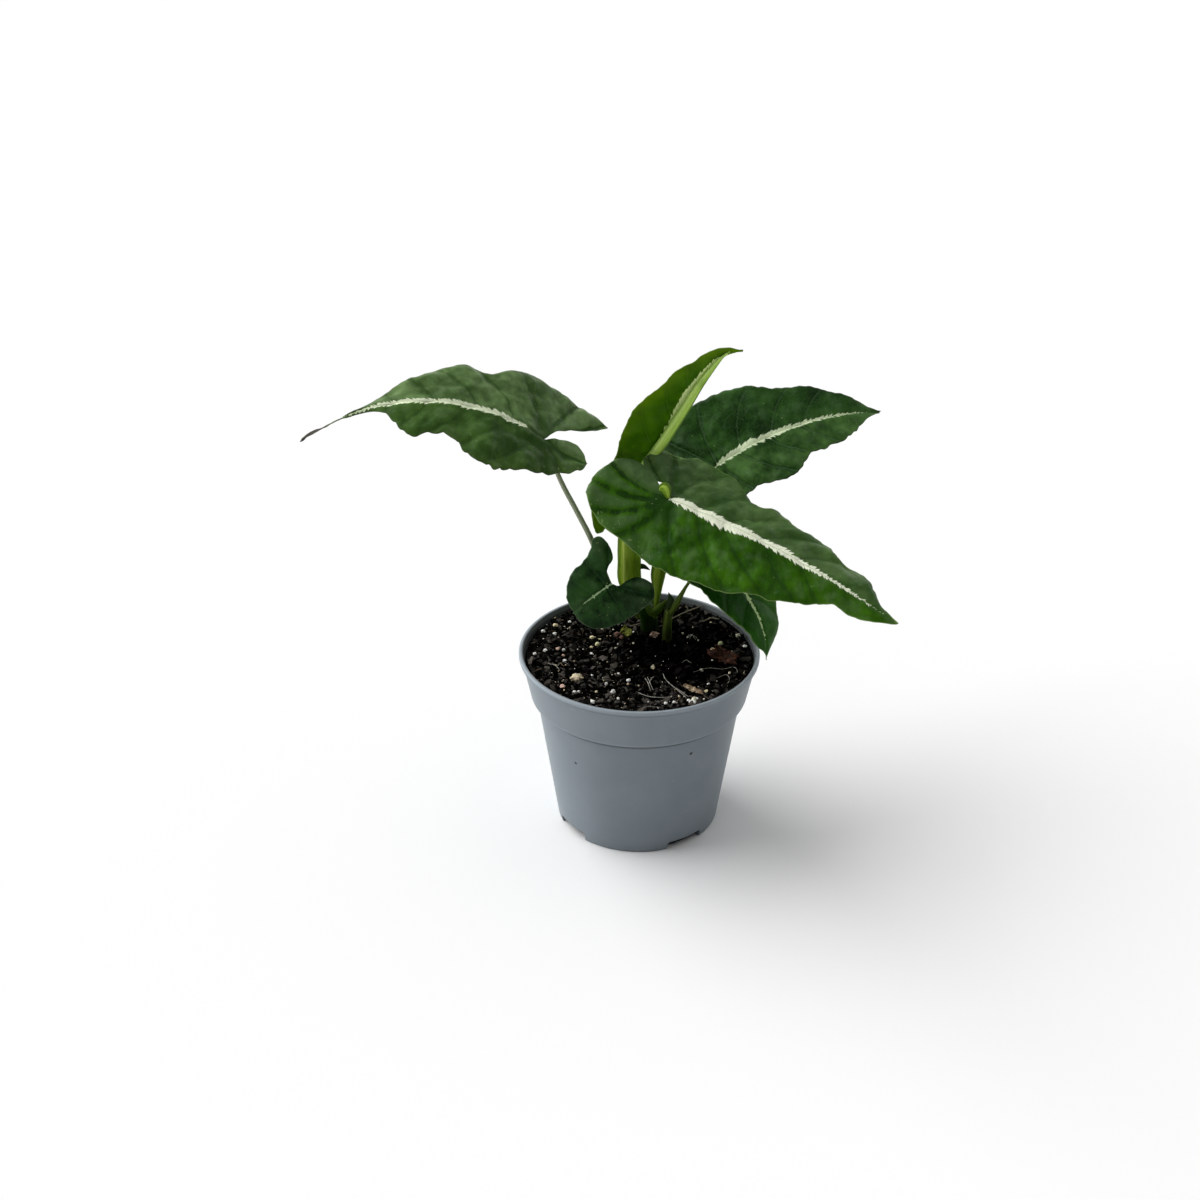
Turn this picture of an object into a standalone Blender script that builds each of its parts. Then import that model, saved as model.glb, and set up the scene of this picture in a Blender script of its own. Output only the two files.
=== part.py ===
"""Potted arrowhead plant (Syngonium) in a 12 cm grow pot.

The origin is the centre of the pot's underside, +Z is up, lengths are metres.
Six leaves, each a blade on its own petiole, rise from two stems in the potting mix.
"""
import math

import bmesh
import bpy
import numpy as np
from mathutils import Vector

mm = 0.001
gap = 0.3 * mm
ringSteps = 60

# pot
rimRadius = 60.0 * mm
potHeight = 94.6 * mm
baseRadius = 41.3 * mm
bodyTopRadius = 51.5 * mm
collarBottom = 71.3 * mm
collarBottomRadius = 54.4 * mm
collarTopRadius = 58.6 * mm
wall = 1.2 * mm
lipHeight = 2.4 * mm
footHeight = 3.5 * mm
footInnerRadius = 36.2 * mm
padRadius = 15.0 * mm
footCount = 4
notchWidth = math.radians(29)
firstNotch = math.radians(-54)

# potting mix and stems
mixTop = 89.0 * mm
mixRelief = 0.8 * mm
bladeThickness = 0.6 * mm


def clearScene():
    for item in list(bpy.data.objects):
        bpy.data.objects.remove(item)


def makeMaterial(name, colour, roughness):
    material = bpy.data.materials.new(name)
    material.use_nodes = True
    shader = material.node_tree.nodes["Principled BSDF"]
    shader.inputs["Base Color"].default_value = (*colour, 1.0)
    shader.inputs["Roughness"].default_value = roughness
    shader.inputs["Metallic"].default_value = 0.0
    return material


def addObject(name, mesh, material, smooth=True):
    item = bpy.data.objects.new(name, mesh)
    bpy.context.scene.collection.objects.link(item)
    mesh.materials.append(material)
    if smooth:
        mesh.shade_smooth()
    return item


def meshFrom(name, vertices, faces):
    """Closed mesh with outward faces, from vertex places and face indices."""
    shape = bmesh.new()
    verts = [shape.verts.new(place) for place in vertices]
    for face in faces:
        shape.faces.new([verts[index] for index in face])
    bmesh.ops.remove_doubles(shape, verts=shape.verts, dist=0.01 * mm)
    bmesh.ops.recalc_face_normals(shape, faces=shape.faces)
    mesh = bpy.data.meshes.new(name)
    shape.to_mesh(mesh)
    shape.free()
    return mesh


def smoothPath(points, perSpan=8):
    """Catmull-Rom curve through the points."""
    points = np.array(points, dtype=float)
    padded = np.vstack([2 * points[0] - points[1], points, 2 * points[-1] - points[-2]])
    curve = []
    for index in range(1, len(padded) - 2):
        before, start, end, after = padded[index - 1:index + 3]
        for step in range(perSpan):
            t = step / perSpan
            curve.append(0.5 * (2 * start + (end - before) * t
                                + (2 * before - 5 * start + 4 * end - after) * t ** 2
                                + (3 * start - before - 3 * end + after) * t ** 3))
    curve.append(points[-1])
    return np.array(curve)


def evenly(curve, count):
    """The same curve with count points at equal distances."""
    lengths = np.linalg.norm(np.diff(curve, axis=0), axis=1)
    along = np.concatenate([[0.0], np.cumsum(lengths)])
    wanted = np.linspace(0.0, along[-1], count)
    return np.stack([np.interp(wanted, along, curve[:, axis]) for axis in range(curve.shape[1])], axis=1)


# ---------------------------------------------------------------- pot and mix

def potProfile():
    """Radius and height of the pot's section, from the axis underneath to the axis inside."""
    outside = [
        (0.0, 0.0), (padRadius, 0.0), (padRadius + wall, footHeight),
        (footInnerRadius - wall, footHeight), (footInnerRadius, 0.0),
        (baseRadius - 0.6 * mm, 0.0), (baseRadius, 0.6 * mm),
        (bodyTopRadius, collarBottom - 0.7 * mm), (bodyTopRadius + 0.5 * mm, collarBottom - 0.1 * mm),
        (collarBottomRadius - 0.5 * mm, collarBottom + 0.2 * mm),
        (collarBottomRadius, collarBottom + 0.8 * mm),
        (collarTopRadius, potHeight - lipHeight - 0.2 * mm),
    ]
    lip = [
        (rimRadius - 0.5 * mm, potHeight - lipHeight), (rimRadius, potHeight - lipHeight + 0.5 * mm),
        (rimRadius, potHeight - 0.6 * mm), (rimRadius - 0.5 * mm, potHeight),
        (rimRadius - 1.3 * mm, potHeight), (rimRadius - 1.8 * mm, potHeight - 0.5 * mm),
    ]
    return outside + lip + insideProfile(0.0) + [(0.0, wall)]


def insideProfile(inset):
    """The pot's inner wall from below the lip to the centre pad, moved inwards by inset."""
    floorTop = footHeight + wall
    points = [
        (collarTopRadius - wall, potHeight - lipHeight, 1, 0),
        (collarBottomRadius - wall, collarBottom + 1.4 * mm, 1, 1),
        (bodyTopRadius - wall + 0.4 * mm, collarBottom + 0.8 * mm, 1, 1),
        (bodyTopRadius - wall, collarBottom - 0.2 * mm, 1, 0),
        (baseRadius - wall, 2.0 * mm, 1, 0),
        (baseRadius - wall - 0.8 * mm, wall, 1, 1),
        (footInnerRadius + wall, wall, -1.2, 1),
        (footInnerRadius, floorTop, -1.2, 1),
        (padRadius, floorTop, 0.7, 1),
        (padRadius - wall, wall, 1, 1),
    ]
    return [(radius - inset * inward, height + inset * upward)
            for radius, height, inward, upward in points]


def lathe(name, profile, steps):
    """Turn a section around Z into a closed mesh."""
    shape = bmesh.new()
    verts = [shape.verts.new((radius, 0.0, height)) for radius, height in profile]
    edges = [shape.edges.new(pair) for pair in zip(verts, verts[1:])]
    bmesh.ops.spin(shape, geom=verts + edges, axis=(0, 0, 1), cent=(0, 0, 0),
                   angle=2 * math.pi, steps=steps, use_merge=True)
    bmesh.ops.remove_doubles(shape, verts=shape.verts, dist=0.01 * mm)
    bmesh.ops.recalc_face_normals(shape, faces=shape.faces)
    mesh = bpy.data.meshes.new(name)
    shape.to_mesh(mesh)
    shape.free()
    return mesh


def addNotchCutter(name, angle):
    """A wedge that opens the foot ring between two feet."""
    inner = footInnerRadius - 1.5 * wall
    outer = baseRadius + 2 * mm
    corners = []
    for turn in (-0.5, -0.25, 0.0, 0.25, 0.5):
        corners.append((outer, angle + turn * notchWidth))
    for turn in (0.5, -0.5):
        corners.append((inner, angle + turn * notchWidth))
    count = len(corners)
    vertices = [(radius * math.cos(turn), radius * math.sin(turn), height)
                for height in (-2 * mm, footHeight - 0.4 * mm) for radius, turn in corners]
    faces = [tuple(reversed(range(count))), tuple(range(count, 2 * count))]
    for index in range(count):
        after = (index + 1) % count
        faces.append((index, after, count + after, count + index))
    cutter = bpy.data.objects.new(name, meshFrom(name, vertices, faces))
    bpy.context.scene.collection.objects.link(cutter)
    cutter.hide_render = True
    cutter.display_type = "WIRE"
    return cutter


def cutWith(target, cutter):
    cut = target.modifiers.new(cutter.name, "BOOLEAN")
    cut.operation = "DIFFERENCE"
    cut.solver = "EXACT"
    cut.object = cutter


def addPot(material):
    mesh = lathe("pot", potProfile(), ringSteps)
    pot = addObject("pot", mesh, material)
    mesh.set_sharp_from_angle(angle=math.radians(40))
    for index in range(footCount):
        angle = firstNotch + index * 2 * math.pi / footCount
        cutWith(pot, addNotchCutter(f"notchCutter{index}", angle))
    return pot


def mixHeight(x, y):
    """Height of the potting mix's uneven surface."""
    wave = math.sin(x * 260 + 1.3) * math.cos(y * 210 - 0.6) + 0.6 * math.sin(x * 120 - y * 330 + 2.0)
    return mixTop + mixRelief * wave * 0.6


def addPottingMix(material, sockets):
    """The mix fills the pot up to a few millimetres under the rim, with an open socket for each stem."""
    sides = insideProfile(gap)
    top, below = sides[0], sides[1]
    share = (mixTop - below[1]) / (top[1] - below[1])
    edgeRadius = below[0] + share * (top[0] - below[0])
    rings = [edgeRadius * (1 - step / 8) for step in range(9)]
    profile = [(0.0, wall + gap)] + list(reversed(sides[1:])) + [(radius, mixTop) for radius in rings]
    mesh = lathe("potting_mix", profile, ringSteps)
    for vertex in mesh.vertices:
        radius = math.hypot(vertex.co.x, vertex.co.y)
        if vertex.co.z > mixTop - 0.1 * mm and radius < edgeRadius - mm:
            vertex.co.z = mixHeight(vertex.co.x, vertex.co.y)
    mix = addObject("potting_mix", mesh, material, smooth=False)
    for cutter in sockets:
        cutWith(mix, cutter)
    return mix


# ---------------------------------------------------------------- stalks

def tubeMesh(name, path, widths, depths, sides, samples):
    """A tube along a smooth path; widths lie across the view axis Y and depths along it."""
    points = [[*place, width, depth] for place, width, depth in zip(path, widths, depths)]
    line = evenly(smoothPath(np.array(points)), samples)
    centres = line[:, :3] * mm
    tangents = np.gradient(centres, axis=0)
    tangents /= np.linalg.norm(tangents, axis=1)[:, None]
    vertices = []
    for centre, tangent, width, depth in zip(centres, tangents, line[:, 3] * mm, line[:, 4] * mm):
        side = np.cross(tangent, (0.0, 1.0, 0.0))
        side /= np.linalg.norm(side)
        other = np.cross(side, tangent)
        for step in range(sides):
            turn = 2 * math.pi * step / sides
            vertices.append(centre + side * width * math.cos(turn) + other * depth * math.sin(turn))
    faces = [tuple(range(sides)), tuple(reversed(range((samples - 1) * sides, samples * sides)))]
    for ring in range(samples - 1):
        for step in range(sides):
            after = (step + 1) % sides
            low = ring * sides
            faces.append((low + step, low + after, low + sides + after, low + sides + step))
    return meshFrom(name, vertices, faces)


def addStalk(name, material, path, widths, depths=None, sides=10, samples=14):
    """Places and radii are in millimetres."""
    mesh = tubeMesh(name, path, widths, depths or widths, sides, samples)
    item = addObject(name, mesh, material)
    mesh.set_sharp_from_angle(angle=math.radians(50))
    return item


def addSocket(name, path, widths):
    """A cutter a little wider than a stem, from its lower end to above the mix."""
    wide = [width + 1.3 * gap / mm for width in widths]
    first, second = np.array(path[0], float), np.array(path[1], float)
    lower = first - (second - first) / np.linalg.norm(second - first) * gap / mm
    mesh = tubeMesh(name, [tuple(lower)] + list(path[1:]), wide, wide, 12, 14)
    cutter = bpy.data.objects.new(name, mesh)
    bpy.context.scene.collection.objects.link(cutter)
    cutter.hide_render = True
    cutter.display_type = "WIRE"
    return cutter


mainStem = dict(
    path=[(3.0, 29.2, 66), (3.4, 28.8, 88), (1.6, 28.3, 99), (-1.8, 27.6, 108)],
    widths=[2.4, 3.1, 3.3, 3.0],
)
sideStem = dict(
    path=[(13.4, 16.4, 66), (14.1, 17.0, 89), (15.2, 17.2, 98), (16.4, 17.2, 104)],
    widths=[2.0, 2.4, 2.3, 2.0],
)
petioles = {
    "petiole_upright": dict(
        path=[(-1.96, 27.57, 108.4), (-5.2, 27.0, 118), (-6.2, 27.4, 132), (-5.6, 29.0, 149),
              (-2.4, 31.8, 161), (0.6, 33.5, 169.5)],
        widths=[3.0, 5.3, 5.6, 3.2, 1.9, 1.1],
        depths=[3.0, 3.0, 2.8, 2.1, 1.7, 1.1],
    ),
    "petiole_left": dict(
        path=[(-4.2, 26.2, 102), (-8.6, 23.6, 107), (-14.4, 22.5, 116), (-18.8, 23.5, 127),
              (-24.4, 24.0, 143), (-31.8, 21.5, 160.6), (-39.0, 17.8, 178), (-46.0, 15.2, 198.3)],
        widths=[1.4, 1.5, 1.6, 1.5, 1.4, 1.3, 1.2, 1.0],
    ),
    "petiole_front_right": dict(
        path=[(7.0, 26.5, 96), (6.9, 26.2, 104), (8.6, 24.6, 122), (11.6, 18.5, 145),
              (13.4, 10.5, 163), (14.0, 5.7, 173.7)],
        widths=[1.6, 2.7, 3.6, 2.4, 1.6, 1.1],
        depths=[1.5, 1.8, 2.0, 1.7, 1.5, 1.1],
    ),
    "petiole_back_right": dict(
        path=[(5.5, 32.7, 95), (7.2, 32.4, 108), (9.6, 32.4, 125), (17.5, 35.0, 146),
              (29.0, 40.5, 163), (35.15, 43.85, 169.85)],
        widths=[1.4, 1.6, 1.5, 1.4, 1.2, 1.0],
    ),
    "petiole_hanging": dict(
        path=[(16.62, 17.2, 104.75), (20.2, 16.6, 113), (24.3, 15.0, 122.5), (28.6, 11.6, 133.5),
              (31.4, 8.3, 141.7)],
        widths=[2.0, 1.7, 1.3, 1.1, 0.9],
    ),
    "petiole_small": dict(
        path=[(-0.5, 24.0, 99), (-6.0, 16.6, 111), (-11.0, 10.4, 121.7), (-13.6, 7.1, 126.6)],
        widths=[1.2, 1.3, 1.1, 0.9],
    ),
}
shoots = {
    "side_bud": dict(
        path=[(11.5, 18.4, 98.5), (12.5, 18.5, 107), (14.3, 18.2, 116.5)],
        widths=[1.2, 1.4, 0.15],
        depths=[1.0, 1.1, 0.15],
    ),
    "sheath_flap": dict(
        path=[(4.9, 23.9, 97.5), (4.4, 22.5, 103), (6.4, 21.8, 109), (9.4, 21.6, 112)],
        widths=[1.6, 2.5, 2.2, 0.5],
        depths=[0.6, 0.7, 0.6, 0.3],
    ),
    "sheath_point": dict(
        path=[(0.2, 27.2, 126.2), (2.5, 26.9, 126.4), (5.3, 26.5, 124.6)],
        widths=[1.3, 1.1, 0.15],
        depths=[0.5, 0.45, 0.12],
    ),
}


# ---------------------------------------------------------------- leaf blades

# Each blade is drawn flat and then bent. Across is measured out from the midrib and along from
# the junction with the petiole, in millimetres. heading and rise aim the midrib in degrees,
# droop and back are how much the rise falls ahead of the junction and behind it, per blade length.
# fold lifts each half about the midrib. sinus runs from the junction to the end of the basal
# lobe, margin from there to the tip. Halves are given as (left, right), seen along the midrib.
leaves = {
    "blade_left": dict(
        base=(-46.5, 15.0, 201.3), length=124, heading=186.7, rise=39.6, droop=75.5, back=90,
        roll=25, fold=(-4, -4), foldAtLobes=0.3, ripple=(0.8, 5, 0.4),
        sinus=([(-4, -6), (-6, -13), (-4, -20), (2, -24)],
               [(10, -6), (19, -21), (25, -34)]),
        margin=([(8, -21), (15, -11), (23, 2), (29, 16), (32, 25), (28, 38), (20, 47), (19, 62),
                 (20, 67), (15, 74), (8, 80), (3, 90), (1.5, 105)],
                [(33, -20), (36, -4), (38, 9), (32, 24), (26, 33), (27, 43), (23, 54), (18, 63),
                 (6, 87), (2.2, 100)]),
    ),
    "blade_front_right": dict(
        base=(13.4, 5.0, 175.1), length=125, heading=332.5, rise=-8.8, droop=16.7, back=80,
        roll=-25, fold=(-20, -20), foldAtLobes=0.3, ripple=(0.9, 6, 1.9),
        sinus=([(4, -4), (6, -10), (9, -16), (14, -23)],
               [(-0.5, -8), (-8, -19), (-8, -27), (-3, -34)]),
        margin=([(20, -22.5), (26, -18), (31, -9), (37, -3), (38, 5), (36, 15), (32, 22), (26, 30),
                 (22, 38), (26, 45), (24, 53), (20, 62), (22, 68), (20, 77), (15, 87), (16, 96),
                 (13, 103), (5, 114)],
                [(8, -36), (14, -35), (20, -33), (25, -27), (28, -19), (29, -11), (31, -2), (34, 9),
                 (34, 17), (33, 29), (31, 43), (29, 52), (24, 61), (23, 70), (16, 84), (10, 96),
                 (9, 105), (7, 114)]),
    ),
    "blade_back_right": dict(
        base=(36.8, 45.0, 173.7), length=91.5, heading=17.3, rise=32.5, droop=39.9, back=40,
        roll=-36, fold=(4, 0), foldAtLobes=0.5, ripple=(0.7, 5, 0.8),
        sinus=([(3, -6), (7, -14), (14, -23)],
               [(3, -6), (6, -14), (12, -21)]),
        margin=([(22, -23), (29, -14), (33, -2), (34, 10), (32, 22), (30, 32), (24, 41), (20, 54),
                 (18, 60), (12, 72), (4, 85)],
                [(18, -19), (22, -10), (23, 2), (21.5, 14), (24, 25), (25, 31), (23, 38), (17, 47),
                 (17, 55), (15, 60), (15, 66), (10, 75), (4, 83)]),
    ),
    "blade_upright": dict(
        base=(-0.6, 33.5, 171.5), length=85.5, heading=1.5, rise=74.5, droop=39.4, back=0,
        roll=0, fold=(82, 68), foldAtLobes=1.0, ripple=(0.5, 4, 2.2),
        sinus=([(3, -7), (6, -15), (10, -21)],
               [(3, -8), (5, -18), (8, -28), (11, -34)]),
        margin=([(13, -16), (15, -7), (15, 4), (14, 15), (15, 27), (14, 38), (12, 50), (9, 62),
                 (6, 74)],
                [(17, -28), (22, -18), (23, -7), (21, 3), (19.5, 12), (21, 20), (22, 30), (21, 39),
                 (19, 46), (16.5, 54), (15, 62), (13, 71), (10, 78), (6, 82)]),
    ),
    "blade_hanging": dict(
        base=(31.6, 8.0, 142.9), length=63.6, heading=323.3, rise=-10.7, droop=76.7, back=0,
        roll=0, fold=(-5, -5), foldAtLobes=1.0, ripple=(0.5, 4, 0.0),
        sinus=([(2, -4), (5, -11), (11, -16)],
               [(2, -4), (5, -11), (11, -16)]),
        margin=([(17, -14), (20, -5), (22, 6), (22, 20), (21, 32), (18.5, 40), (14, 50), (11, 54),
                 (6.5, 58), (2, 61)],
                [(17, -14), (20, -5), (21.5, 5), (21, 13), (20, 23), (18, 31), (13, 40), (10, 47),
                 (7, 53), (3, 58)]),
    ),
    "blade_small": dict(
        base=(-14.3, 6.0, 127.8), length=23.2, heading=203.6, rise=-27, droop=6, back=0,
        roll=50, fold=(-5, -5), foldAtLobes=1.0, ripple=(0.4, 2, 1.0),
        sinus=([(3, -3), (3, -7), (4, -12), (7, -15), (11, -17)],
               [(5, -1), (8, -4), (10, -8), (15, -10), (20, -10)]),
        margin=([(15, -16), (18, -13), (19, -8), (19, -2), (19, 5), (17, 13), (14, 19), (10, 22),
                 (6, 23.5)],
                [(23, -9), (23.5, -5), (20, -1.5), (17, 5), (16, 12), (12, 18), (6, 22)]),
    ),
}


def midribFrames(leaf, count=120):
    """Places along the midrib, ahead of the junction and half a length behind it."""
    shares = np.linspace(-0.5, 1.0, count + 1)

    def aim(share):
        falling = np.where(share >= 0, -leaf["droop"] * share, leaf["back"] * share)
        return np.radians(leaf["rise"] + falling)

    heading = math.radians(leaf["heading"])
    middles = aim((shares[1:] + shares[:-1]) / 2)
    step = 1.5 * leaf["length"] * mm / count
    flat = np.array([math.cos(heading), math.sin(heading), 0.0])
    up = np.array([0.0, 0.0, 1.0])
    moves = (np.outer(np.cos(middles), flat) + np.outer(np.sin(middles), up)) * step
    centres = np.vstack([np.zeros(3), np.cumsum(moves, axis=0)])
    centres += np.array(leaf["base"]) * mm - centres[count // 3]
    rises = aim(shares)
    tangents = np.outer(np.cos(rises), flat) + np.outer(np.sin(rises), up)
    level = np.array([math.sin(heading), -math.cos(heading), 0.0])
    raised = np.cross(level, tangents)
    roll = math.radians(leaf["roll"])
    across = math.cos(roll) * level + math.sin(roll) * raised
    normals = np.cross(across, tangents)
    return shares, centres, tangents, across, normals


def bladePoint(leaf, frames, side, outward, along, spread):
    """Bend one flat place of the blade. side is 0 for the left half and 1 for the right."""
    shares, centres, tangents, across, normals = frames
    share = along / leaf["length"]
    near = min(max(share, -0.5), 1.0)
    centre, tangent, sideways, normal = [
        np.array([np.interp(near, shares, table[:, axis]) for axis in range(3)])
        for table in (centres, tangents, across, normals)]
    flatten = min(1.0, max(leaf["foldAtLobes"], 1 + along / 30))
    fold = math.radians(leaf["fold"][side]) * flatten
    ridge = math.sqrt(outward ** 2 + 1.5 ** 2) - 1.5
    height, waves, phase = leaf["ripple"]
    ripple = height * spread ** 2 * math.sin(2 * math.pi * waves * share + phase + 2.4 * side)
    direction = 1 if side else -1
    return (centre + tangent * (share - near) * leaf["length"] * mm
            + sideways * direction * outward * math.cos(fold) * mm
            + normal * (ridge * math.sin(fold) + ripple) * mm)


def halfOutline(leaf, side, sinusRows, bladeRows):
    """Inner and outer ends of the rows of one half, from the lobe's end to the tip."""
    sinus = smoothPath([(0.0, 0.0)] + leaf["sinus"][side])
    margin = smoothPath([leaf["sinus"][side][-1]] + leaf["margin"][side] + [(0.0, leaf["length"])])
    inner = evenly(sinus, sinusRows + 1)[::-1]
    midrib = np.stack([np.zeros(bladeRows + 1), np.linspace(0, leaf["length"], bladeRows + 1)], axis=1)
    abreast = np.argmax(margin[:, 1] > 0.03 * leaf["length"])
    lobe = evenly(margin[:abreast + 1], sinusRows + 1)
    rest = evenly(margin[abreast:], bladeRows + 1)
    return np.vstack([inner, midrib[1:]]), np.vstack([lobe, rest[1:]])


def addBlade(name, leaf, material, sinusRows=6, bladeRows=15, columns=4):
    frames = midribFrames(leaf)
    vertices, faces = [], []
    for side in (0, 1):
        inner, outer = halfOutline(leaf, side, sinusRows, bladeRows)
        start = len(vertices)
        for inside, outside in zip(inner, outer):
            for column in range(columns + 1):
                spread = column / columns
                outward, along = inside + (outside - inside) * spread
                vertices.append(bladePoint(leaf, frames, side, outward, along, spread))
        for row in range(len(inner) - 1):
            for column in range(columns):
                low = start + row * (columns + 1) + column
                high = low + columns + 1
                face = (low, low + 1, high + 1, high)
                faces.append(face if side else face[::-1])
    shape = bmesh.new()
    verts = [shape.verts.new(place) for place in vertices]
    for face in faces:
        shape.faces.new([verts[index] for index in face])
    bmesh.ops.remove_doubles(shape, verts=shape.verts, dist=0.01 * mm)
    mesh = bpy.data.meshes.new(name)
    shape.to_mesh(mesh)
    shape.free()
    blade = addObject(name, mesh, material)
    thicken = blade.modifiers.new("thickness", "SOLIDIFY")
    thicken.thickness = bladeThickness
    thicken.offset = 0.0
    return blade


# ---------------------------------------------------------------- what lies on the mix

def addGrain(name, material, place, size, turn=0.0):
    """A rounded crumb that rests on the mix; place and size are in millimetres."""
    shape = bmesh.new()
    bmesh.ops.create_icosphere(shape, subdivisions=1, radius=1.0)
    x, y = place
    lowest = max(mixHeight((x + dx * size[0] / 2) * mm, (y + dy * size[1] / 2) * mm)
                 for dx in (-1, 0, 1) for dy in (-1, 0, 1))
    centre = Vector((x * mm, y * mm, lowest + gap + size[2] / 2 * mm))
    for vert in shape.verts:
        bump = 1 + 0.14 * math.sin(5 * vert.co.x + 3 * vert.co.y + x) * math.cos(4 * vert.co.z + y)
        offset = Vector([vert.co[axis] * size[axis] / 2 * mm * min(bump, 1.0) for axis in range(3)])
        vert.co = centre + Vector((offset.x * math.cos(turn) - offset.y * math.sin(turn),
                                   offset.x * math.sin(turn) + offset.y * math.cos(turn), offset.z))
    mesh = bpy.data.meshes.new(name)
    shape.to_mesh(mesh)
    shape.free()
    return addObject(name, mesh, material)


def addScrap(name, material, place, size, turn, curl):
    """A thin curled flake; its middle rests on the mix and its ends curl up."""
    columns, rows = 6, 4
    x, y = place
    lowest = max(mixHeight((x + dx * size[0] / 3) * mm, (y + dy * size[1] / 3) * mm)
                 for dx in (-1, 0, 1) for dy in (-1, 0, 1))
    vertices, faces = [], []
    for level in (0, 1):
        for row in range(rows + 1):
            for column in range(columns + 1):
                u = column / columns * 2 - 1
                v = row / rows * 2 - 1
                reach = size[0] / 2 * u * (1 - 0.25 * v * v)
                width = size[1] / 2 * v * (1 - 0.45 * u * u)
                height = curl * (0.7 * u * u + 0.3 * v * v) + level * size[2]
                vertices.append(((x + reach * math.cos(turn) - width * math.sin(turn)) * mm,
                                 (y + reach * math.sin(turn) + width * math.cos(turn)) * mm,
                                 lowest + gap + height * mm))
    layer = (columns + 1) * (rows + 1)
    for row in range(rows):
        for column in range(columns):
            low = row * (columns + 1) + column
            face = (low, low + 1, low + columns + 2, low + columns + 1)
            faces.append(face[::-1])
            faces.append(tuple(layer + index for index in face))
    border = ([(0, column) for column in range(columns)] + [(row, columns) for row in range(rows)]
              + [(rows, column) for column in range(columns, 0, -1)]
              + [(row, 0) for row in range(rows, 0, -1)])
    ring = [row * (columns + 1) + column for row, column in border]
    for first, second in zip(ring, ring[1:] + ring[:1]):
        faces.append((first, second, layer + second, layer + first))
    return addObject(name, meshFrom(name, vertices, faces), material)


grains = {
    "pebble": dict(place=(-30.3, -22.3), size=(6.5, 4.6, 3.6), turn=0.3),
    "pumice_bit": dict(place=(7.6, 20.2), size=(4.6, 3.0, 2.6), turn=0.2),
    "perlite_left": dict(place=(-21.0, 10.5), size=(2.8, 2.6, 2.4), turn=0.0),
    "perlite_front": dict(place=(-12.4, -34.5), size=(2.8, 2.4, 2.2), turn=0.5),
    "perlite_right": dict(place=(26.5, -43.5), size=(3.2, 2.6, 2.4), turn=0.9),
    "perlite_side": dict(place=(41.0, 12.0), size=(2.8, 2.4, 2.2), turn=0.0),
}
scraps = {
    "dry_leaf_scrap": dict(place=(43.0, -1.5), size=(12.5, 8.0, 0.5), turn=-0.5, curl=2.2),
    "yellow_leaf_scrap": dict(place=(-5.6, 25.2), size=(5.4, 3.6, 0.5), turn=0.5, curl=1.2),
    "bark_sliver": dict(place=(27.0, -31.0), size=(7.0, 2.6, 0.9), turn=-0.35, curl=0.5),
}


def main():
    clearScene()
    plastic = makeMaterial("grow_pot_plastic", (0.25, 0.29, 0.32), 0.45)
    peat = makeMaterial("potting_mix", (0.020, 0.015, 0.012), 0.95)
    greenStalk = makeMaterial("stalk_green", (0.20, 0.30, 0.07), 0.45)
    darkStem = makeMaterial("stem_dark", (0.06, 0.12, 0.03), 0.5)
    darkLeaf = makeMaterial("leaf_dark", (0.03, 0.10, 0.03), 0.35)
    youngLeaf = makeMaterial("leaf_young", (0.14, 0.28, 0.03), 0.4)
    perlite = makeMaterial("perlite", (0.75, 0.72, 0.65), 0.9)
    stone = makeMaterial("pebble_stone", (0.45, 0.33, 0.22), 0.8)
    dryLeaf = makeMaterial("dry_leaf", (0.16, 0.08, 0.05), 0.8)
    yellowLeaf = makeMaterial("yellow_leaf", (0.35, 0.36, 0.10), 0.6)
    bark = makeMaterial("bark", (0.33, 0.22, 0.14), 0.85)

    addPot(plastic)
    sockets = [addSocket("mainSocket", **mainStem), addSocket("sideSocket", **sideStem)]
    addPottingMix(peat, sockets)
    addStalk("main_stem", darkStem, **mainStem)
    addStalk("side_stem", greenStalk, **sideStem)
    for name, shape in petioles.items():
        addStalk(name, greenStalk, samples=18, **shape)
    for name, shape in shoots.items():
        addStalk(name, greenStalk, samples=8, sides=8, **shape)
    for name, leaf in leaves.items():
        addBlade(name, leaf, youngLeaf if name == "blade_upright" else darkLeaf)
    for name, grain in grains.items():
        addGrain(name, stone if name == "pebble" else perlite, **grain)
    scrapMaterials = dict(dry_leaf_scrap=dryLeaf, yellow_leaf_scrap=yellowLeaf, bark_sliver=bark)
    for name, scrap in scraps.items():
        addScrap(name, scrapMaterials[name], **scrap)


main()
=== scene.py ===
# Potted arrowhead plant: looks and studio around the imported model.
import math

import bmesh
import bpy
import numpy as np
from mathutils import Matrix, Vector, noise


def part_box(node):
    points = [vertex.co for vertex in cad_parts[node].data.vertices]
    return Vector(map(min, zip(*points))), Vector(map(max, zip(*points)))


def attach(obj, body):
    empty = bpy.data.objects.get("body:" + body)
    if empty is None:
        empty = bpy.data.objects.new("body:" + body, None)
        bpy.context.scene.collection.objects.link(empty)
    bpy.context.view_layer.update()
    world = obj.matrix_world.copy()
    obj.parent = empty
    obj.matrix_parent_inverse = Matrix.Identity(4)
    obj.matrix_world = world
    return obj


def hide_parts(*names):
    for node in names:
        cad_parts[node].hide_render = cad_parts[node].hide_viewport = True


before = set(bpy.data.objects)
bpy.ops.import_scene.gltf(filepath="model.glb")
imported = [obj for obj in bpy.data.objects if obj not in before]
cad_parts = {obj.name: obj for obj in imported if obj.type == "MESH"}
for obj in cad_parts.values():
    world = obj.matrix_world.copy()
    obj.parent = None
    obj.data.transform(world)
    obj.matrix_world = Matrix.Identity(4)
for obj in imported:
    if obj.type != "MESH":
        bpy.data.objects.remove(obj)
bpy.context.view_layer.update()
mm = 0.001
print("frame loaded:", len(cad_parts), "nodes")


# camera, floor and light

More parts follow.
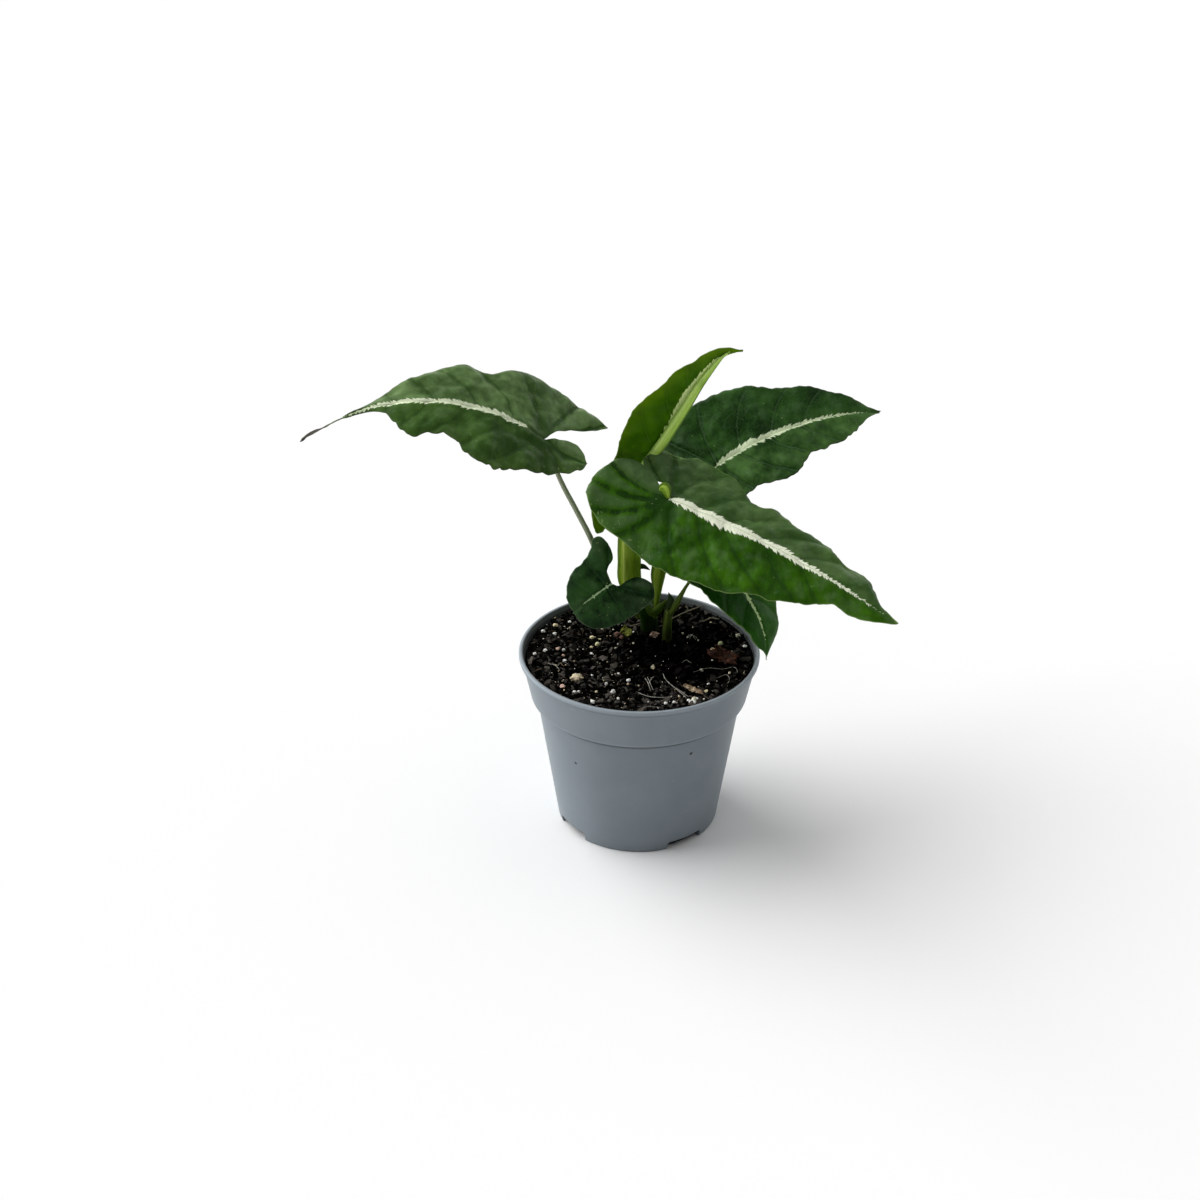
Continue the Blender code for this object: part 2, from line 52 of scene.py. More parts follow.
studio = dict(
    cameraPlace=(0.0, -0.8, 0.562),
    cameraTurn=(61.2, 0.0, 1.4),  # degrees
    lens=55.74,
    sensor=36.0,
    floorSize=12.0,
    floorColour=(0.97, 0.97, 0.97),
    # degrees above the floor, degrees from +X towards +Y, strength, angle of its disc
    windowSun=(32.0, 160.0, 3.25, 70.0),
    ceilingSun=(55.0, 100.0, 1.6, 160.0),
    skyStrength=0.05,
)


def setUpStudio():
    scene = bpy.context.scene
    scene.view_settings.view_transform = "Standard"
    camera = bpy.data.cameras.new("camera")
    camera.lens = studio["lens"]
    camera.sensor_width = studio["sensor"]
    camera.clip_end = 50.0
    holder = bpy.data.objects.new("camera", camera)
    holder.location = studio["cameraPlace"]
    holder.rotation_euler = [math.radians(angle) for angle in studio["cameraTurn"]]
    scene.collection.objects.link(holder)
    scene.camera = holder

    for name in ("windowSun", "ceilingSun"):
        height, turn, strength, disc = studio[name]
        height, turn = math.radians(height), math.radians(turn)
        sun = bpy.data.lights.new(name, "SUN")
        sun.energy = strength
        sun.angle = math.radians(disc)
        lamp = bpy.data.objects.new(name, sun)
        level = math.cos(height)
        towards = Vector((level * math.cos(turn), level * math.sin(turn), math.sin(height)))
        lamp.rotation_euler = towards.to_track_quat("Z", "Y").to_euler()
        scene.collection.objects.link(lamp)

    world = bpy.data.worlds.new("studio")
    world.use_nodes = True
    nodes, links = world.node_tree.nodes, world.node_tree.links
    nodes.clear()
    rays = nodes.new("ShaderNodeLightPath")
    plain, seen = nodes.new("ShaderNodeBackground"), nodes.new("ShaderNodeBackground")
    plain.inputs["Strength"].default_value = studio["skyStrength"]
    seen.inputs["Strength"].default_value = 1.0
    for background in (plain, seen):
        background.inputs["Color"].default_value = (1.0, 1.0, 1.0, 1.0)
    swap, out = nodes.new("ShaderNodeMixShader"), nodes.new("ShaderNodeOutputWorld")
    shown = maths("MAXIMUM", Wire(rays.outputs["Is Camera Ray"]), Wire(rays.outputs["Is Glossy Ray"]))
    shown = maths("MAXIMUM", shown, Wire(rays.outputs["Is Transmission Ray"]))
    links.new(shown.socket, swap.inputs[0])
    links.new(plain.outputs[0], swap.inputs[1])
    links.new(seen.outputs[0], swap.inputs[2])
    links.new(swap.outputs[0], out.inputs["Surface"])
    scene.world = world


# shader maths

def plug(socket, value):
    if isinstance(value, Wire):
        socket.id_data.links.new(value.socket, socket)
    else:
        socket.default_value = value


def maths(operation, *values):
    tree = next(value.socket.id_data for value in values if isinstance(value, Wire))
    node = tree.nodes.new("ShaderNodeMath")
    node.operation = operation
    for socket, value in zip(node.inputs, values):
        plug(socket, value)
    return Wire(node.outputs[0])


class Wire:
    # a socket's number, which adds Math nodes when it is used in a sum
    def __init__(self, socket):
        self.socket = socket

    def __add__(self, other):
        return maths("ADD", self, other)

    def __radd__(self, other):
        return maths("ADD", other, self)

    def __sub__(self, other):
        return maths("SUBTRACT", self, other)

    def __rsub__(self, other):
        return maths("SUBTRACT", other, self)

    def __mul__(self, other):
        return maths("MULTIPLY", self, other)

    def __rmul__(self, other):
        return maths("MULTIPLY", other, self)

    def size(self):
        return maths("ABSOLUTE", self)


def firstSocket(sockets, key):
    if isinstance(key, int):
        return sockets[key]
    return next(socket for socket in sockets if key in (socket.identifier, socket.name))


class Paint:
    # a material while its nodes are put together
    def __init__(self, name):
        self.material = bpy.data.materials.new(name)
        self.material.use_nodes = True
        self.tree = self.material.node_tree
        self.shader = self.tree.nodes["Principled BSDF"]

    def node(self, kind, settings=None, sockets=None, output=0):
        made = self.tree.nodes.new(kind)
        for name, value in (settings or {}).items():
            if name == "stops":
                ramp = made.color_ramp
                while len(ramp.elements) < len(value):
                    ramp.elements.new(1.0)
                for element, (place, colour) in zip(ramp.elements, value):
                    element.position = place
                    element.color = colour
            else:
                setattr(made, name, value)
        for key, value in (sockets or {}).items():
            plug(firstSocket(made.inputs, key), value)
        return Wire(firstSocket(made.outputs, output))

    def attribute(self, name):
        return self.node("ShaderNodeAttribute", {"attribute_name": name}, output="Fac")

    def place(self):
        return self.node("ShaderNodeTexCoord", output="Object")

    def vector(self, x=0.0, y=0.0, z=0.0):
        return self.node("ShaderNodeCombineXYZ", sockets={"X": x, "Y": y, "Z": z})

    def scaled(self, vector, sizes):
        return self.node("ShaderNodeVectorMath", {"operation": "MULTIPLY"}, {0: vector, 1: sizes})

    def cloud(self, vector, scale, detail=2.0, roughness=0.5):
        return self.node("ShaderNodeTexNoise", sockets={
            "Vector": vector, "Scale": scale, "Detail": detail, "Roughness": roughness})

    def ease(self, value, low, high, start=0.0, end=1.0):
        # smooth step from start to end while value goes from low to high
        return self.node("ShaderNodeMapRange", {"interpolation_type": "SMOOTHSTEP"}, {
            "Value": value, "From Min": low, "From Max": high, "To Min": start, "To Max": end})

    def mix(self, first, second, share):
        return self.node("ShaderNodeMix", {"data_type": "RGBA"}, {
            "Factor_Float": share, "A_Color": first, "B_Color": second}, "Result_Color")

    def bump(self, height, distance, strength=1.0):
        return self.node("ShaderNodeBump", sockets={
            "Height": height, "Distance": distance, "Strength": strength})

    def finish(self, **values):
        for name, value in values.items():
            key = name.replace("_", " ")
            plug(self.shader.inputs[key], value)
        return self.material


def shade(red, green, blue):
    # screen colour 0-255 to the linear colour that shaders use
    parts = [value / 255 for value in (red, green, blue)]
    return (*[part / 12.92 if part <= 0.04045 else ((part + 0.055) / 1.055) ** 2.4 for part in parts], 1.0)


# shared mesh tools

def catmull(points, perSpan=12):
    points = np.array(points, dtype=float)
    padded = np.vstack([2 * points[0] - points[1], points, 2 * points[-1] - points[-2]])
    curve = []
    for index in range(1, len(padded) - 2):
        before, start, end, after = padded[index - 1:index + 3]
        for step in range(perSpan):
            t = step / perSpan
            curve.append(0.5 * (2 * start + (end - before) * t
                                + (2 * before - 5 * start + 4 * end - after) * t ** 2
                                + (3 * start - before - 3 * end + after) * t ** 3))
    curve.append(points[-1])
    return np.array(curve)


def evenly(curve, count):
    lengths = np.linalg.norm(np.diff(curve, axis=0), axis=1)
    walked = np.concatenate([[0.0], np.cumsum(lengths)])
    wanted = np.linspace(0.0, walked[-1], count)
    return np.stack([np.interp(wanted, walked, curve[:, axis]) for axis in range(curve.shape[1])], axis=1)


def addPiece(name, mesh, material):
    mesh.materials.append(material)
    piece = bpy.data.objects.new(name, mesh)
    bpy.context.scene.collection.objects.link(piece)
    return piece


def toObject(name, shape, material, smooth=True):
    mesh = bpy.data.meshes.new(name)
    shape.to_mesh(mesh)
    shape.free()
    if smooth:
        mesh.shade_smooth()
    return addPiece(name, mesh, material)


def settle(piece):
    # turn the piece with its modifiers into a plain mesh
    graph = bpy.context.evaluated_depsgraph_get()
    mesh = bpy.data.meshes.new_from_object(piece.evaluated_get(graph))
    piece.modifiers.clear()
    piece.data = mesh
    return piece


def setFloats(mesh, name, values):
    layer = mesh.attributes.new(name, "FLOAT", "POINT")
    layer.data.foreach_set("value", np.asarray(values, dtype=np.float32))


def belongs(piece, slot, *nodes):
    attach(piece, "root")
    if nodes:
        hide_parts(*nodes)
    return piece


# leaf blades

# Outlines are in millimetres on the flat leaf: outward from the midrib, and along it from the end
# of the leaf stalk. Pairs hold the left half and then the right one. heading, rise, droop, back,
# roll, hook and fold are degrees that aim and bend the midrib. A vein is (share of length, slope).
# ripple is (height, waves, phase), scallop is (depth, period) and keel is (half width, depth).
# band gives (share of length, half width on the left, half width on the right) of the pale stripe.
# Each half goes from a dark to a bright colour; the greyer pair on the far half of blade_left and of
# blade_front_right is painted sheen. contrast, savoy, mottle and crinkle say how strongly each pattern
# shows in it, and relief how strongly they show in the bump. In the colour, savoy and crinkle add painted
# shade and light on the puckers and wrinkles, sheen is a painted sheen colour with its share, and the
# groove share is painted shade in the creases of the lobes.
leaves = {
    "blade_left": dict(
        base=(-46.5, 15.0, 201.3), length=124, heading=186.7, rise=39.6, droop=75.5, back=90, roll=25,
        fold=(-4, -4), foldAtLobes=0.3, ripple=(0.8, 5, 0.4), scallop=((1.5, 9.0), (0.6, 11.0)),
        sinus=([(-4, -6), (-6, -13), (-4, -20), (2, -24)],
               [(10, -6), (19, -21), (25, -34)]),
        margin=([(8, -21), (15, -11), (23, 2), (29, 16), (32, 25), (28, 38), (20, 47), (19, 62),
                 (20, 67), (15, 74), (6, 80), (1.6, 88), (0.7, 102), (0.5, 113)],
                [(33, -20), (36, -4), (38, 9), (32, 24), (26, 33), (27, 43), (23, 54), (18, 63),
                 (7, 81), (1.5, 91), (0.7, 103), (0.5, 114)]),
        veins=([(0.03, 0.55), (0.16, 0.8), (0.32, 0.95), (0.48, 1.1), (0.62, 1.2)],
               [(0.02, 0.3), (0.14, 0.55), (0.29, 0.7), (0.45, 0.9), (0.6, 1.1)]),
        lobeVeins=((10, 40, 75), (12, 38, 62)), quilt=0.8, lobeQuilt=0.6, pucker=1.0, keel=(0.9, 1.1),
        band=[(0.075, 0.0, 0.0), (0.1, 1.3, 0.9), (0.2, 1.2, 1.7), (0.3, 1.9, 1.5), (0.42, 1.0, 1.6),
              (0.55, 1.3, 1.5), (0.66, 0.9, 1.1), (0.75, 0.4, 0.4), (0.82, -0.3, -0.4)],
        left=((42, 70, 22), (74, 108, 44)), right=((54, 82, 34), (112, 142, 86)),
        underside=((92, 118, 70), (116, 142, 92)),
        stripe=(240, 250, 216), fray=5.2, border=(84, 88, 74), veinTint=(44, 74, 30, 0.4),
        sheen=(108, 130, 92, 0.5), rimTint=(96, 122, 66), rimShare=0.3,
        contrast=0.9, savoy=0.2, mottle=0.7, crinkle=0.35, relief=1.0, grooveShade=0.1, lobeLift=0.5,
        tipShare=0.85),
    "blade_front_right": dict(
        base=(13.4, 5.0, 175.1), length=125, heading=332.5, rise=-8.8, droop=16.7, back=80, roll=-25,
        fold=(-20, -20), foldAtLobes=0.3, ripple=(0.9, 6, 1.9), scallop=((0.6, 9.0), (0.35, 9.0)),
        sinus=([(4.5, -3), (7, -5.5), (8.2, -9), (7.2, -12.5), (7, -16), (8.5, -20), (14, -24)],
               [(-1.5, -4), (-5, -9.5), (-8, -15.5), (-9, -21), (-8.5, -27), (-3, -34)]),
        margin=([(20, -22.5), (26, -18), (31, -9), (37, -3), (38, 5), (36, 15), (32, 22), (26, 30),
                 (22, 38), (26, 45), (24, 53), (20, 62), (22, 68), (20, 77), (15, 87), (16, 96),
                 (13, 103), (5, 114)],
                [(8, -36), (14, -35), (20, -33), (25, -27), (28, -19), (29, -11), (31, -2), (34, 9),
                 (34, 17), (33, 29), (31, 43), (29, 52), (24, 61), (23, 70), (16, 84), (10, 96),
                 (9, 105), (7, 114)]),
        veins=([(0.0, 0.25), (0.12, 0.6), (0.25, 0.9), (0.4, 1.1), (0.56, 1.3)],
               [(0.02, 0.35), (0.13, 0.7), (0.24, 1.25), (0.42, 1.35), (0.58, 1.5)]),
        lobeVeins=((15, 45, 72), (12, 35, 58, 80)), quilt=0.8, lobeQuilt=1.3, pucker=1.0,
        keel=(1.0, 1.2),
        band=[(0.0, 0.3, 0.3), (0.02, 1.9, 1.0), (0.1, 2.8, 1.8), (0.18, 2.3, 2.8), (0.22, 1.8, 3.6),
              (0.28, 2.0, 2.8), (0.4, 1.7, 1.5), (0.5, 2.3, 1.7), (0.56, 1.2, 1.8), (0.66, 1.0, 1.0),
              (0.78, 0.6, 0.6), (0.88, 0.1, 0.1), (0.94, -0.4, -0.4)],
        left=((46, 76, 28), (86, 114, 62)), right=((26, 62, 3), (58, 104, 6)),
        underside=((84, 112, 58), (108, 134, 80)),
        stripe=(250, 255, 230), fray=6.2, border=(130, 156, 90), veinTint=(34, 60, 20, 0.4),
        sheen=(88, 114, 74, 0.8), rimTint=(70, 106, 30), rimShare=0.4,
        contrast=0.9, savoy=0.16, mottle=0.7, crinkle=0.4, relief=1.0, grooveShade=0.45),
    "blade_back_right": dict(
        base=(36.8, 45.0, 173.7), length=91.5, heading=17.3, rise=32.5, droop=39.9, back=40, roll=-36,
        fold=(4, 0), foldAtLobes=0.5, ripple=(0.7, 5, 0.8), scallop=((0.5, 8.0), (0.6, 6.0)),
        sinus=([(3, -6), (7, -14), (14, -23)],
               [(3, -6), (6, -14), (12, -21)]),
        margin=([(22, -23), (29, -14), (33, -2), (34, 10), (32, 22), (30, 32), (24, 41), (20, 54),
                 (18, 60), (12, 72), (4, 85)],
                [(14, -17), (18.5, -9), (21.5, 2), (21.5, 14), (24, 25), (25, 31), (23, 38), (17, 47),
                 (17, 55), (15, 60), (15, 66), (10, 75), (4, 83)]),
        veins=([(0.02, 0.15), (0.17, 0.4), (0.36, 0.65), (0.55, 0.9)],
               [(0.03, 0.3), (0.15, 0.75), (0.33, 1.0), (0.52, 1.2)]),
        lobeVeins=((20, 55), (20, 55)), quilt=0.35, lobeQuilt=0.6, pucker=0.8, keel=(0.9, 1.0),
        band=[(0.0, 0.0, 0.0), (0.03, 1.3, 0.8), (0.12, 2.2, 0.9), (0.24, 2.9, 1.0), (0.27, 1.9, 1.2),
              (0.42, 1.7, 1.4), (0.47, 1.2, 1.0), (0.62, 0.9, 0.9), (0.75, 0.7, 0.6),
              (0.86, 0.15, 0.15), (0.93, -0.4, -0.4)],
        left=((11, 40, 2), (51, 90, 33)), right=((14, 48, 2), (84, 124, 60)),
        underside=((80, 108, 58), (104, 130, 80)),
        stripe=(224, 238, 198), fray=5.2, border=(80, 88, 76), veinTint=(88, 118, 80, 0.34),
        sheen=(84, 110, 76, 0.5), rimTint=(60, 92, 40), rimShare=0.2,
        contrast=0.75, savoy=0.12, mottle=0.6, crinkle=0.3, relief=0.7, grooveShade=0.15),
    "blade_upright": dict(
        base=(-0.9, 33.5, 172.5), length=85.5, heading=1.5, rise=63, droop=8, back=0, roll=0,
        hook=(0.8, 55),
        fold=(82, 68), foldAtLobes=1.0, ripple=(0.5, 4, 2.2), scallop=((0.3, 9.0), (0.3, 12.0)),
        sinus=([(3, -7), (6, -15), (10, -21)],
               [(2, -9), (3, -19), (4, -28), (4.5, -34)]),
        margin=([(13, -16), (15, -7), (15, 4), (14, 15), (15, 27), (14, 38), (12, 50), (8.5, 60),
                 (6, 68), (2.5, 76), (0.8, 81)],
                [(7.5, -35.5), (12.5, -30), (16, -25.5), (19, -21), (21, -15), (21.4, -8), (21.5, 0),
                 (20.5, 6), (20.2, 10.5), (23.4, 17), (25, 25), (25, 33), (23.6, 42), (18.8, 51),
                 (17.2, 60), (13, 66), (10.3, 71), (7, 75.5), (4.2, 81), (2, 84.5)]),
        veins=([(0.05, 0.4), (0.25, 0.7), (0.45, 0.9), (0.62, 1.1)],
               [(0.02, 0.35), (0.2, 0.7), (0.4, 0.9), (0.58, 1.1)]),
        lobeVeins=((25, 60), (25, 60)), quilt=0.3, lobeQuilt=0.0, pucker=0.6, keel=(1.2, 1.0),
        band=[(-0.3, 0.4, 0.4), (0.0, 1.0, 1.0), (0.06, 1.0, 2.0), (0.085, 1.0, 6.0), (0.11, 1.0, 2.4),
              (0.25, 1.2, 3.0), (0.35, 1.2, 4.2), (0.5, 1.2, 5.3), (0.6, 1.2, 6.0), (0.7, 1.2, 5.8),
              (0.78, 1.0, 4.9), (0.84, 0.6, 3.2), (0.9, 0.2, 0.8), (0.94, -0.4, -0.4)],
        left=((40, 78, 6), (78, 118, 8)), right=((42, 82, 1), (74, 118, 2)),
        underside=((44, 86, 1), (76, 122, 3)),
        stripe=(240, 255, 180), fray=5.4, border=(120, 146, 60), veinTint=(96, 132, 34, 0.35),
        sheen=(84, 124, 10, 0.3), rimTint=(104, 138, 10), rimShare=1.4,
        contrast=0.9, savoy=0.06, mottle=0.3, crinkle=0.2, relief=0.3, grooveShade=0.0),
    "blade_hanging": dict(
        base=(31.6, 8.0, 142.9), length=63.6, heading=323.3, rise=-10.7, droop=76.7, back=0, roll=0,
        fold=(-5, -5), foldAtLobes=1.0, ripple=(0.5, 4, 0.0), scallop=((0.3, 7.0), (0.3, 7.0)),
        sinus=([(2, -4), (5, -11), (11, -16)],
               [(2, -4), (5, -11), (11, -16)]),
        margin=([(17, -14), (20, -5), (22, 6), (22, 20), (21, 32), (18.5, 40), (14, 50), (11, 54),
                 (6.5, 58), (2, 61)],
                [(17, -14), (20, -5), (21.5, 5), (21, 13), (20, 23), (18, 31), (13, 40), (10, 47),
                 (7, 53), (3, 58)]),
        veins=([(0.05, 0.4), (0.25, 0.8), (0.48, 1.0)],
               [(0.05, 0.4), (0.25, 0.8), (0.48, 1.0)]),
        lobeVeins=((30, 65), (30, 65)), quilt=0.4, lobeQuilt=0.3, pucker=0.4, keel=(0.7, 0.8),
        band=[(0.1, 0.2, 0.2), (0.2, 1.1, 0.9), (0.4, 1.2, 0.8), (0.55, 0.9, 0.8), (0.7, 0.6, 0.6),
              (0.8, 0.2, 0.2), (0.88, -0.4, -0.4)],
        left=((22, 66, 2), (46, 100, 10)), right=((14, 58, 1), (34, 86, 5)),
        underside=((66, 100, 44), (90, 124, 64)),
        stripe=(204, 228, 168), fray=4.2, border=(120, 148, 88), veinTint=(50, 84, 22, 0.25),
        sheen=(52, 84, 40, 0.3), rimTint=(50, 84, 20), rimShare=0.3,
        contrast=0.8, savoy=0.1, mottle=0.7, crinkle=0.3, relief=0.6, grooveShade=0.3),
    "blade_small": dict(
        base=(-14.3, 6.0, 127.8), length=23.2, heading=203.6, rise=-27, droop=6, back=0, roll=50,
        fold=(-5, -5), foldAtLobes=1.0, ripple=(0.4, 2, 1.0), scallop=((0.2, 4.0), (0.2, 5.0)),
        sinus=([(3, -3), (3, -7), (4, -12), (7, -15), (11, -17)],
               [(5, -1), (8, -4), (10, -8), (15, -10), (20, -10)]),
        margin=([(15, -16), (18, -13), (19, -8), (19, -2), (19, 5), (17, 13), (14, 19), (10, 22),
                 (6, 23.5)],
                [(23, -9), (23.5, -5), (20, -1.5), (17, 5), (16, 12), (12, 18), (6, 22)]),
        veins=([(0.1, 0.1), (0.45, 0.35)],
               [(0.1, 0.1), (0.45, 0.35)]),
        lobeVeins=((35, 70), (25, 50)), quilt=0.4, lobeQuilt=0.5, pucker=0.35, keel=(0.6, 0.6),
        band=[(-0.1, 0.1, 0.1), (0.05, 0.4, 0.4), (0.4, 0.5, 0.45), (0.68, 0.3, 0.3), (0.82, -0.4, -0.4)],
        left=((8, 34, 6), (44, 78, 34)), right=((8, 34, 6), (38, 72, 26)),
        underside=((70, 98, 60), (92, 120, 82)),
        stripe=(176, 204, 156), fray=1.0, border=(110, 134, 100), veinTint=(70, 100, 66, 0.16),
        sheen=(84, 108, 76, 0.7), rimTint=(70, 98, 68), rimShare=0.5,
        contrast=1.7, savoy=0.12, mottle=1.8, crinkle=0.6, relief=0.9, grooveShade=0.5),
}
bladeForm = dict(
    sinusRows=30, bladeRows=110, columns=30, crowding=1.25,  # rows of faces, closer at the midrib
    ribSteps=240, ribBehind=0.5,  # the midrib runs on behind the stalk by half a length, for the lobes
    ridgeRound=1.5, lobeFade=30,  # mm over which the fold is rounded, and over which it fades at the lobes
    rippleLag=2.4, calmMargin=9,  # phase between the halves, and mm of narrow blade with a calm margin
    veinReach=44, veinPoints=14,  # mm that a vein runs outward, and points along it
    veinWidth=3.2, groove=0.5, grooveWidth=1.1,  # mm of quilting beside a vein and of the midrib's groove
    edgeThickness=0.14, innerThickness=0.12, tipStart=1.03,
)
sheetLayers = ("leafAcross", "leafAlong", "leafVein", "leafRim", "leafBand", "raise", "top", "bottom")


def hills(points, scale, layer):
    return np.array([noise.noise(Vector((x * scale, y * scale, layer))) for x, y in points])


def bendRib(leaf):
    # places, directions and normals along the midrib, in millimetres
    count, behind = bladeForm["ribSteps"], bladeForm["ribBehind"]
    shares = np.linspace(-behind, 1.0, count + 1)
    hookStart, hookTurn = leaf.get("hook", (0.9, 0.0))

    def aim(share):
        bend = np.where(share >= 0, -leaf["droop"] * share, leaf["back"] * share)
        hook = hookTurn * np.clip((share - hookStart) / (1 - hookStart), 0, 1)
        return np.radians(leaf["rise"] + bend - hook)

    heading, roll = math.radians(leaf["heading"]), math.radians(leaf["roll"])
    flat = np.array([math.cos(heading), math.sin(heading), 0.0])
    up = np.array([0.0, 0.0, 1.0])
    middles = aim((shares[1:] + shares[:-1]) / 2)
    moves = np.outer(np.cos(middles), flat) + np.outer(np.sin(middles), up)
    moves = moves * (1 + behind) * leaf["length"] / count
    centres = np.vstack([np.zeros(3), np.cumsum(moves, axis=0)])
    centres += np.array(leaf["base"]) - centres[round(count * behind / (1 + behind))]
    tangents = np.outer(np.cos(aim(shares)), flat) + np.outer(np.sin(aim(shares)), up)
    level = np.array([math.sin(heading), -math.cos(heading), 0.0])
    across = math.cos(roll) * level + math.sin(roll) * np.cross(level, tangents)
    return shares, centres, tangents, across, np.cross(across, tangents)


def bendFlat(leaf, rib, side, outward, along, spread):
    # lay flat places of one half along the bent midrib
    shares, tables = rib[0], rib[1:]
    share = along / leaf["length"]
    near = np.clip(share, -bladeForm["ribBehind"], 1.0)
    centre, tangent, sideways, normal = [
        np.stack([np.interp(near, shares, table[:, axis]) for axis in range(3)], axis=1) for table in tables]
    flatten = np.minimum(1.0, np.maximum(leaf["foldAtLobes"], 1 + along / bladeForm["lobeFade"]))
    fold = math.radians(leaf["fold"][side]) * flatten
    ridge = np.sqrt(outward ** 2 + bladeForm["ridgeRound"] ** 2) - bladeForm["ridgeRound"]
    height, waves, phase = leaf["ripple"]
    swing = np.sin(2 * math.pi * waves * share + phase + bladeForm["rippleLag"] * side)
    ripple = height * spread ** 2 * swing
    direction = 1 if side else -1
    return (centre + tangent * ((share - near) * leaf["length"])[:, None]
            + sideways * (direction * outward * np.cos(fold))[:, None]
            + normal * (ridge * np.sin(fold) + ripple)[:, None])


def scallopMargin(leaf, side, inner, outer):
    # the margin with its waves and small unevenness
    depth, period = leaf["scallop"][side]
    walked = np.concatenate([[0.0], np.cumsum(np.linalg.norm(np.diff(outer, axis=0), axis=1))])
    uneven = np.array([noise.noise(Vector((step * 0.06, 11.0, side))) for step in walked])
    waves = np.abs(np.sin(math.pi * walked / period + 2.5 * uneven)) - 0.64  # about the mean of the waves
    wobble = hills(outer, 0.35, 3.0 + side) * 0.5 + depth * (1 + uneven) * waves
    wobble *= np.clip(np.linalg.norm(outer - inner, axis=1) / bladeForm["calmMargin"], 0, 1)
    reach = outer - inner
    reach /= np.maximum(np.linalg.norm(reach, axis=1), 1e-6)[:, None]
    return outer + reach * wobble[:, None]


def flatHalf(leaf, side):
    # flat places of one half, row by row from the lobe's end to the tip
    sinusRows, bladeRows = bladeForm["sinusRows"], bladeForm["bladeRows"]
    sinus = catmull([(0.0, 0.0)] + leaf["sinus"][side])
    margin = catmull([leaf["sinus"][side][-1]] + leaf["margin"][side] + [(0.0, leaf["length"])])
    inner = evenly(sinus, sinusRows + 1)[::-1]
    midrib = np.stack([np.zeros(bladeRows + 1), np.linspace(0, leaf["length"], bladeRows + 1)], axis=1)
    abreast = np.argmax(margin[:, 1] > 0.03 * leaf["length"])
    lobe, rest = evenly(margin[:abreast + 1], sinusRows + 1), evenly(margin[abreast:], bladeRows + 1)
    inner, outer = np.vstack([inner, midrib[1:]]), np.vstack([lobe, rest[1:]])
    outer = scallopMargin(leaf, side, inner, outer)
    spread = np.linspace(0, 1, bladeForm["columns"] + 1) ** bladeForm["crowding"]
    flat = inner[:, None, :] + (outer - inner)[:, None, :] * spread[None, :, None]
    rim = np.linalg.norm(outer - inner, axis=1)[:, None] * (1 - spread)[None, :]
    return flat, np.broadcast_to(spread, rim.shape), rim


def veinPaths(leaf, side):
    paths = []
    reach = bladeForm["veinReach"]
    out = np.linspace(0, 1, bladeForm["veinPoints"])
    for share, slope in leaf["veins"][side]:
        outward = reach * out
        along = share * leaf["length"] + outward * slope * (0.45 + 1.5 * out)  # steeper towards the margin
        paths.append(np.stack([outward, along], axis=1))
    for angle in leaf["lobeVeins"][side]:
        swing = np.radians(angle + 14 * out)
        paths.append(np.stack([reach * out * np.cos(swing), -reach * out * np.sin(swing)], axis=1))
    return paths


def nearestVein(points, paths):
    best = np.full(len(points), 99.0)
    for path in paths:
        for start, end in zip(path, path[1:]):
            step = end - start
            share = np.clip((points - start) @ step / (step @ step), 0, 1)
            best = np.minimum(best, np.linalg.norm(points - start - share[:, None] * step, axis=1))
    return best


def bladeRelief(leaf, side, points, vein, spread, inner):
    # how far each place of the sheet is raised, in millimetres
    outward, along = points.T
    pucker, dimple = hills(points, 0.085, 7.0 + side), hills(points, 0.2, 17.0 + side)
    curl = np.array([noise.noise(Vector((step * 0.12, 29.0 + side * 5, 0.0))) for step in along])
    lobe = np.clip(-along / 12, 0, 1)
    lively = 0.5 + 0.7 * np.clip(1.3 - 2 * along / leaf["length"], 0, 1)
    quilting = 1 - np.exp(-(vein / bladeForm["veinWidth"]) ** 2)
    bumps = 1.6 * pucker + lively * dimple
    return (leaf["quilt"] * (1 + leaf["lobeQuilt"] * lobe) * quilting * inner
            + leaf["pucker"] * bumps * np.clip(np.abs(outward) / 6, 0, 1) * inner
            + 0.8 * leaf["quilt"] * curl * spread ** 3
            - bladeForm["groove"] * np.exp(-(outward / bladeForm["grooveWidth"]) ** 2))


def bladeThickness(leaf, outward, share, inner):
    # thickness above and below the middle of the sheet, with the midrib's keel below
    keelWidth, keelDepth = leaf["keel"]
    taper = np.clip(1.02 - share, 0.12, 1.0)
    keel = np.sqrt(np.clip(1 - (outward / (keelWidth * taper)) ** 2, 0, 1)) * keelDepth * taper
    thick = bladeForm["edgeThickness"] + bladeForm["innerThickness"] * inner
    thick = thick * np.clip(6 * (bladeForm["tipStart"] - share), 0.3, 1.0)
    return thick, thick + keel


